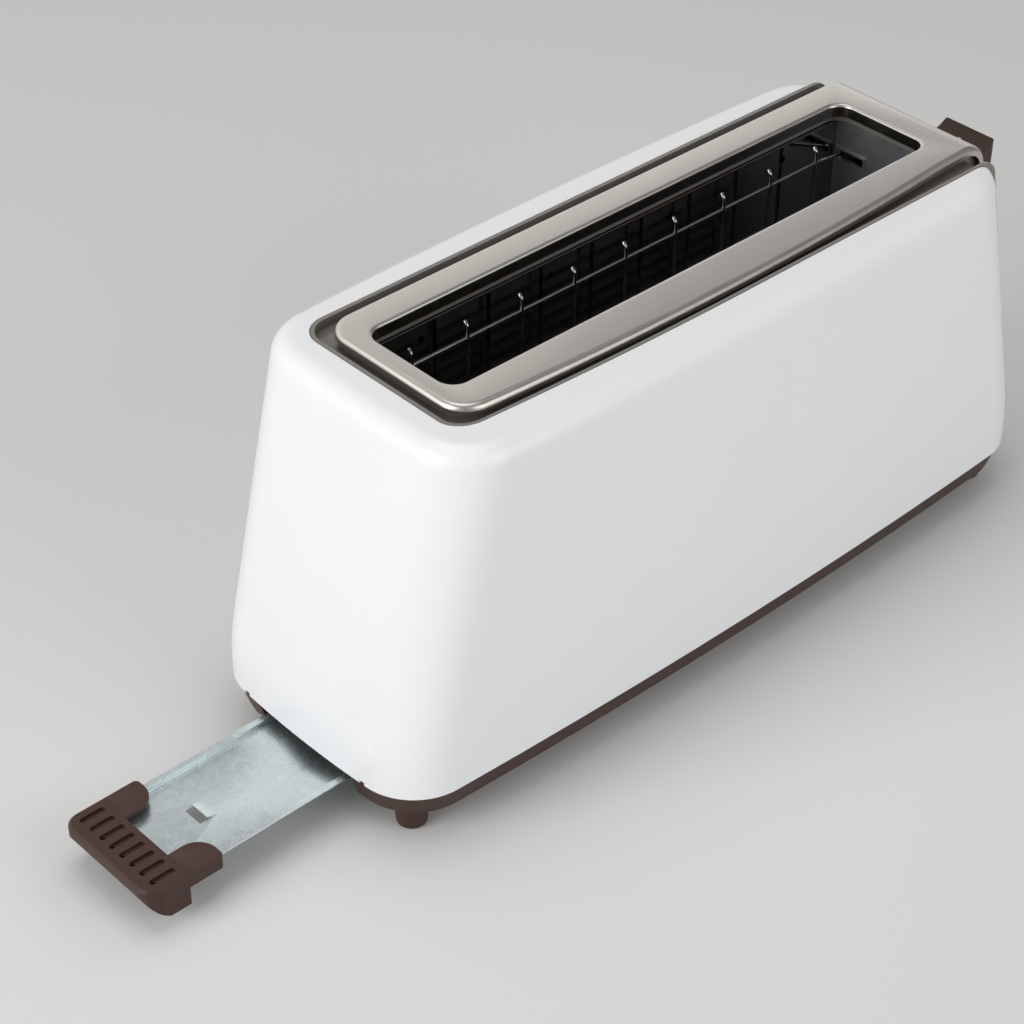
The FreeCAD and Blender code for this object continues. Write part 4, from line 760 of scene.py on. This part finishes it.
def wire_guard(name, node, body, side):
    """Guard of bent wires on a pivot rod; side is -1 at the front and 1 at the back."""
    s = shape()
    low, high = box_of(node)
    end_low, end_high = box_of("chamber_end_near", "chamber_end_far")
    y = (low.y if side > 0 else high.y) + side * s.pivot_radius
    pivot_z = low.z + s.pivot_radius
    pin_z = pivot_z + s.guard_pin_rise
    bend_z = CHAMBER_HIGH.z - s.guard_bend_drop
    top_z = CHAMBER_HIGH.z - s.guard_top_wire_drop
    end_z = CHAMBER_HIGH.z - s.guard_end_drop
    places = wire_places()
    bm = bmesh.new()
    for x in places:
        tip = Vector((x, y + side * s.guard_tip_reach, bend_z + s.guard_tip_rise))
        bent_wire(bm, [Vector((x, y, pivot_z)), Vector((x, y, bend_z)), tip], s.wire_radius,
                  s.wire_bend_radius, s.wire_sides)
    cranked_y = y + side * s.guard_end_crank
    bent_wire(bm, [Vector((end_low.x + s.end_sheet / 2, cranked_y, end_z)),
                   Vector((places[0] - s.guard_crank_room, y, top_z)),
                   Vector((places[-1] + s.guard_crank_room, y, top_z)),
                   Vector((end_high.x - s.end_sheet / 2, cranked_y, end_z))],
              s.wire_radius, s.wire_bend_radius, s.wire_sides)
    pivot_end = 2 * SLOT_MIDDLE - low.x
    bent_wire(bm, [Vector((low.x, y, pivot_z)), Vector((pivot_end, y, pivot_z))],
              s.pivot_radius, 0, PIVOT_SIDES)
    bent_wire(bm, [Vector((places[0], y, pin_z)), Vector((high.x, y, pin_z))],
              s.pin_radius, 0, PIN_SIDES)
    bmesh.ops.recalc_face_normals(bm, faces=bm.faces)
    obj = piece_from(bm, name, SLOTS[node], body)
    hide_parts(node)


def rack_loop(bm, middle, reach, half, bend, radius, sides):
    """One wire bent to a long rectangle with round corners."""
    at = middle + Vector((0, -half, 0))
    way = Vector((1, 0, 0))
    quarter = Matrix.Rotation(math.pi / 2, 3, "Z")
    last = ring(bm, at, radius, way, sides)
    for run in (reach - bend, 2 * (half - bend), 2 * (reach - bend), 2 * (half - bend)):
        last = run_on(bm, last, way * run)
        at = at + way * run
        left = quarter @ way
        last = bend_on(bm, last, at + left * bend, Vector((0, 0, 1)), math.pi / 2,
                       RACK_BEND_STEPS)
        at = at + (way + left) * bend
        way = left
    run_on(bm, last, way * (reach - bend))
    bmesh.ops.remove_doubles(bm, verts=bm.verts, dist=LOOP_MERGE)


def rack_neck(bm, x0, x1, middle, height, thickness):
    """Flat tongue that carries the rack through a chamber end plate."""
    made = bmesh.ops.create_cube(bm, size=1.0)["verts"]
    bmesh.ops.scale(bm, vec=(x1 - x0, thickness, height), verts=made)
    bmesh.ops.translate(bm, vec=((x0 + x1) / 2, middle.y, middle.z), verts=made)
    bmesh.ops.bevel(bm, geom=edges_of(made), offset=NECK_EDGE, offset_type="OFFSET", affect="EDGES",
                    segments=2, profile=0.5, material=-1)


def wire_rack():
    """Rack of welded wires that carries the slice."""
    s = shape()
    low, high = box_of("bread_rack")
    middle = Vector((SLOT_MIDDLE, 0, (low.z + high.z) / 2))
    half = (high.y - low.y) / 2 - s.rack_wire_radius
    reach = SLOT_REACH - s.rack_end_room
    bm = bmesh.new()
    rack_loop(bm, middle, reach, half, s.rack_bend, s.rack_wire_radius, s.wire_sides)
    for x in wire_places():
        bent_wire(bm, [Vector((x, -half, middle.z)), Vector((x, half, middle.z))],
                  s.rack_cross_radius, 0, CROSS_SIDES)
    inner = reach + s.rack_wire_radius / 2
    rack_neck(bm, middle.x + inner, high.x, middle, high.z - low.z, s.rack_neck_thickness)
    rack_neck(bm, low.x, middle.x - inner, middle, high.z - low.z, s.rack_neck_thickness)
    bmesh.ops.recalc_face_normals(bm, faces=bm.faces)
    obj = piece_from(bm, "bread_rack_wires", SLOTS["bread_rack"],
                     body_of(NODES["bread_rack"])[0])
    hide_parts("bread_rack")


def dial_place():
    """Turn and centre that lay a flat drawing on the strip round the knob."""
    across = Vector((0, 1, 0))
    up = DIAL_AXIS.cross(across).normalized()
    turn = Matrix((across, up, DIAL_AXIS)).transposed().to_4x4()
    return Matrix.Translation(DIAL_CENTRE + DIAL_AXIS * FASCIA_DEPTH) @ turn


def dial_angles():
    """Angles of the settings, spread over the knob's whole turn."""
    low, high = (math.radians(limit) for limit in DIAL["range_deg"])
    count = shape().dial_settings
    return [math.pi / 2 - low - (high - low) * k / (count - 1) for k in range(count)]


def dial_ticks():
    """One printed tick for each setting of the browning dial."""
    s = shape()
    bm = bmesh.new()
    for angle in dial_angles():
        tick = bmesh.ops.create_cube(bm, size=1.0)["verts"]
        bmesh.ops.scale(bm, vec=(s.tick_length, s.tick_width, TICK_THICKNESS), verts=tick)
        bmesh.ops.translate(bm, vec=(s.tick_radius, 0, 0), verts=tick)
        bmesh.ops.rotate(bm, cent=(0, 0, 0), matrix=Matrix.Rotation(angle, 3, "Z"),
                         verts=tick)
    bmesh.ops.transform(bm, matrix=dial_place(), verts=bm.verts)
    piece_from(bm, "dial_ticks", "brown_plastic", "housing", finish="print")


def dial_number(number, angle):
    """One printed number of the browning dial, upright on the strip."""
    s = shape()
    text = bpy.data.curves.new("dial_number_%d" % number, "FONT")
    text.body = str(number)
    text.size = s.number_size
    text.align_x = "CENTER"
    text.align_y = "CENTER"
    text.extrude = FIGURE_HALF
    drawn = bpy.data.objects.new("drawn_number", text)
    bpy.context.scene.collection.objects.link(drawn)
    depsgraph = bpy.context.evaluated_depsgraph_get()
    mesh = bpy.data.meshes.new_from_object(drawn.evaluated_get(depsgraph))
    bpy.data.objects.remove(drawn)
    place = Vector((math.cos(angle), math.sin(angle), 0)) * s.number_radius
    bm = bmesh.new()
    bm.from_mesh(mesh)
    bpy.data.meshes.remove(mesh)
    bmesh.ops.remove_doubles(bm, verts=bm.verts, dist=FINE_MERGE)
    bmesh.ops.translate(bm, vec=place, verts=bm.verts)
    bmesh.ops.transform(bm, matrix=dial_place(), verts=bm.verts)
    piece_from(bm, "dial_number_%d" % number, "brown_plastic", "housing", finish="print")


def knob_pointer():
    """Pale line on the knob's grip that points to the chosen setting."""
    s = shape()
    bm = bmesh.new()
    mark = bmesh.ops.create_cube(bm, size=1.0)["verts"]
    bmesh.ops.scale(bm, vec=(s.pointer_width, s.pointer_length, POINTER_THICKNESS), verts=mark)
    upright = [edge for edge in bm.edges
               if abs((edge.verts[0].co - edge.verts[1].co).z) > POINTER_THICKNESS / 2]
    bmesh.ops.bevel(bm, geom=upright, offset=s.pointer_width * POINTER_END_SHARE,
                    offset_type="OFFSET", affect="EDGES", segments=3, profile=0.5, material=-1)
    bmesh.ops.translate(bm, vec=(0, s.pointer_place, s.knob_height), verts=bm.verts)
    bmesh.ops.transform(bm, matrix=dial_place(), verts=bm.verts)
    piece_from(bm, "knob_pointer", "white_plastic", "browning_selector")


class TOASTER_OT_finishes(bpy.types.Operator):
    """Make the finishes and give each part its own"""
    bl_idname = "toaster.finishes"
    bl_label = "Dress the parts"

    def execute(self, context):
        make_finishes()
        dress_nodes()
        return {"FINISHED"}


class TOASTER_OT_rounded_parts(bpy.types.Operator):
    """Round the small edges of the moulded and folded parts that show"""
    bl_idname = "toaster.rounded_parts"
    bl_label = "Rounded parts"

    def execute(self, context):
        s = shape()
        for node in ("shell", "top_bezel"):
            rounded_copy(node, node + "_moulding", s.edge_width, reshape=bow_channel)
        for node in ("base", "tray_handle", "lever_knob", "browning_knob",
                     "cancel_button", "defrost_button", "reheat_button"):
            rounded_copy(node, node + "_moulding", s.edge_width)
        strip = rounded_copy("slot_trim", "slot_trim_sheet", s.sheet_edge_width, reshape=bow_strip)
        polish_lip(strip)
        rounded_copy("crumb_tray", "crumb_tray_sheet", s.sheet_edge_width)
        return {"FINISHED"}


class TOASTER_OT_guards(bpy.types.Operator):
    """Bend the wires of the two bread guards"""
    bl_idname = "toaster.guards"
    bl_label = "Bread guards"

    def execute(self, context):
        wire_guard("guard_wires_front", "bread_guard_front", "front_guard", -1)
        wire_guard("guard_wires_back", "bread_guard_back", "back_guard", 1)
        return {"FINISHED"}


class TOASTER_OT_rack(bpy.types.Operator):
    """Weld the wires of the bread rack"""
    bl_idname = "toaster.rack"
    bl_label = "Bread rack"

    def execute(self, context):
        wire_rack()
        return {"FINISHED"}


class TOASTER_OT_dial(bpy.types.Operator):
    """Print the ticks and numbers round the browning knob"""
    bl_idname = "toaster.dial"
    bl_label = "Browning dial"

    def execute(self, context):
        dial_ticks()
        for number, angle in enumerate(dial_angles(), start=1):
            dial_number(number, angle)
        knob_pointer()
        return {"FINISHED"}


def studio_lamp(name, place, size, watts):
    """A soft square lamp that faces the toaster."""
    light = bpy.data.lights.new(name, "AREA")
    light.shape = "SQUARE"
    light.size = size
    light.energy = watts
    lamp = bpy.data.objects.new(name, light)
    lamp.location = place
    facing = Vector(LAMP_TARGET) - Vector(place)
    lamp.rotation_euler = facing.to_track_quat("-Z", "Y").to_euler()
    bpy.context.scene.collection.objects.link(lamp)


def studio_camera():
    """The photograph's point of view: its angles, roll, lens and place."""
    azimuth, elevation, roll = (math.radians(angle) for angle in CAMERA_ANGLES)
    back = Vector((math.sin(azimuth) * math.cos(elevation),
                   -math.cos(azimuth) * math.cos(elevation), math.sin(elevation)))
    right = Vector((0, 0, 1)).cross(back).normalized()
    up = back.cross(right)
    right, up = (right * math.cos(roll) + up * math.sin(roll),
                 up * math.cos(roll) - right * math.sin(roll))
    turn = Matrix((right, up, back)).transposed().to_4x4()
    trim_low, trim_high = box_of("slot_trim")
    place = Vector((trim_low.x + CAMERA_OFFSET[0], CAMERA_OFFSET[1],
                    trim_high.z + CAMERA_OFFSET[2]))
    data = bpy.data.cameras.new("photo_camera")
    data.lens = CAMERA_LENS
    data.sensor_width = CAMERA_SENSOR
    camera = bpy.data.objects.new("photo_camera", data)
    camera.matrix_world = Matrix.Translation(place) @ turn
    bpy.context.scene.collection.objects.link(camera)
    bpy.context.scene.camera = camera


def studio_world():
    """Even soft light, which the camera and mirrors see as a white backdrop in a grey room."""
    world = bpy.data.worlds.new("studio_world")
    world.use_nodes = True
    tree = world.node_tree
    tree.nodes.clear()
    rays = add(tree, "ShaderNodeLightPath")
    mirrored = add(tree, "ShaderNodeMath", {
        0: rays.outputs["Is Glossy Ray"], 1: rays.outputs["Is Transmission Ray"]},
        operation="MAXIMUM")
    seen = add(tree, "ShaderNodeMath", {
        0: rays.outputs["Is Camera Ray"], 1: mirrored.outputs[0]}, operation="MAXIMUM")
    way = add(tree, "ShaderNodeTexCoord")
    towards = add(tree, "ShaderNodeVectorMath", {
        0: way.outputs["Generated"], 1: BACKDROP_WAY}, operation="DOT_PRODUCT")
    backdrop = add(tree, "ShaderNodeMapRange", {
        "Value": towards.outputs["Value"], "From Min": BACKDROP_FADE[0],
        "From Max": BACKDROP_FADE[1], "To Min": CEILING_LEVEL, "To Max": BACKDROP_LEVEL})
    level = add(tree, "ShaderNodeMix", {
        0: seen.outputs[0], 2: WORLD_LEVEL, 3: backdrop.outputs["Result"]}, data_type="FLOAT")
    light = add(tree, "ShaderNodeBackground", {
        "Color": (1.0, 1.0, 1.0, 1.0), "Strength": level.outputs[0]})
    add(tree, "ShaderNodeOutputWorld", {"Surface": light.outputs[0]})
    bpy.context.scene.world = world


class TOASTER_OT_stage(bpy.types.Operator):
    """Lay the floor and set the lamps, world light and camera"""
    bl_idname = "toaster.stage"
    bl_label = "Studio stage"

    def execute(self, context):
        mesh = bpy.data.meshes.new("studio_floor")
        bm = bmesh.new()
        bmesh.ops.create_circle(bm, cap_ends=True, segments=64, radius=FLOOR_RADIUS)
        bm.to_mesh(mesh)
        bm.free()
        mesh.materials.append(studio_floor("matt_paper_floor", tone().floor))
        floor = bpy.data.objects.new("studio_floor", mesh)
        context.scene.collection.objects.link(floor)
        for lamp in LAMPS:
            studio_lamp(*lamp)
        studio_world()
        studio_camera()
        context.scene.view_settings.view_transform = "Standard"
        return {"FINISHED"}


class TOASTER_PT_panel(bpy.types.Panel):
    """Steps that dress the toaster, with their sizes and colours"""
    bl_idname = "TOASTER_PT_panel"
    bl_label = "Long slot toaster"
    bl_space_type = "VIEW_3D"
    bl_region_type = "UI"
    bl_category = "Toaster"

    def draw(self, context):
        for step in STEPS:
            self.layout.operator(step.bl_idname)
        for group in (context.scene.toaster_shape, context.scene.toaster_colours):
            for name in group.__annotations__:
                self.layout.prop(group, name)


STEPS = (TOASTER_OT_finishes, TOASTER_OT_rounded_parts, TOASTER_OT_guards, TOASTER_OT_rack,
         TOASTER_OT_dial, TOASTER_OT_stage)
CLASSES = (ToasterShape, ToasterColours, *STEPS, TOASTER_PT_panel)


def register():
    """Add the classes and the scene's two groups of settings."""
    for cls in CLASSES:
        bpy.utils.register_class(cls)
    bpy.types.Scene.toaster_shape = PointerProperty(type=ToasterShape)
    bpy.types.Scene.toaster_colours = PointerProperty(type=ToasterColours)


def unregister():
    """Take the settings and classes away again."""
    del bpy.types.Scene.toaster_colours
    del bpy.types.Scene.toaster_shape
    for cls in reversed(CLASSES):
        bpy.utils.unregister_class(cls)


def main():
    """Register the add-on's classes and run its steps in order."""
    register()
    bpy.ops.toaster.finishes()
    bpy.ops.toaster.rounded_parts()
    bpy.ops.toaster.guards()
    bpy.ops.toaster.rack()
    bpy.ops.toaster.dial()
    bpy.ops.toaster.stage()


if __name__ == "__main__":
    main()
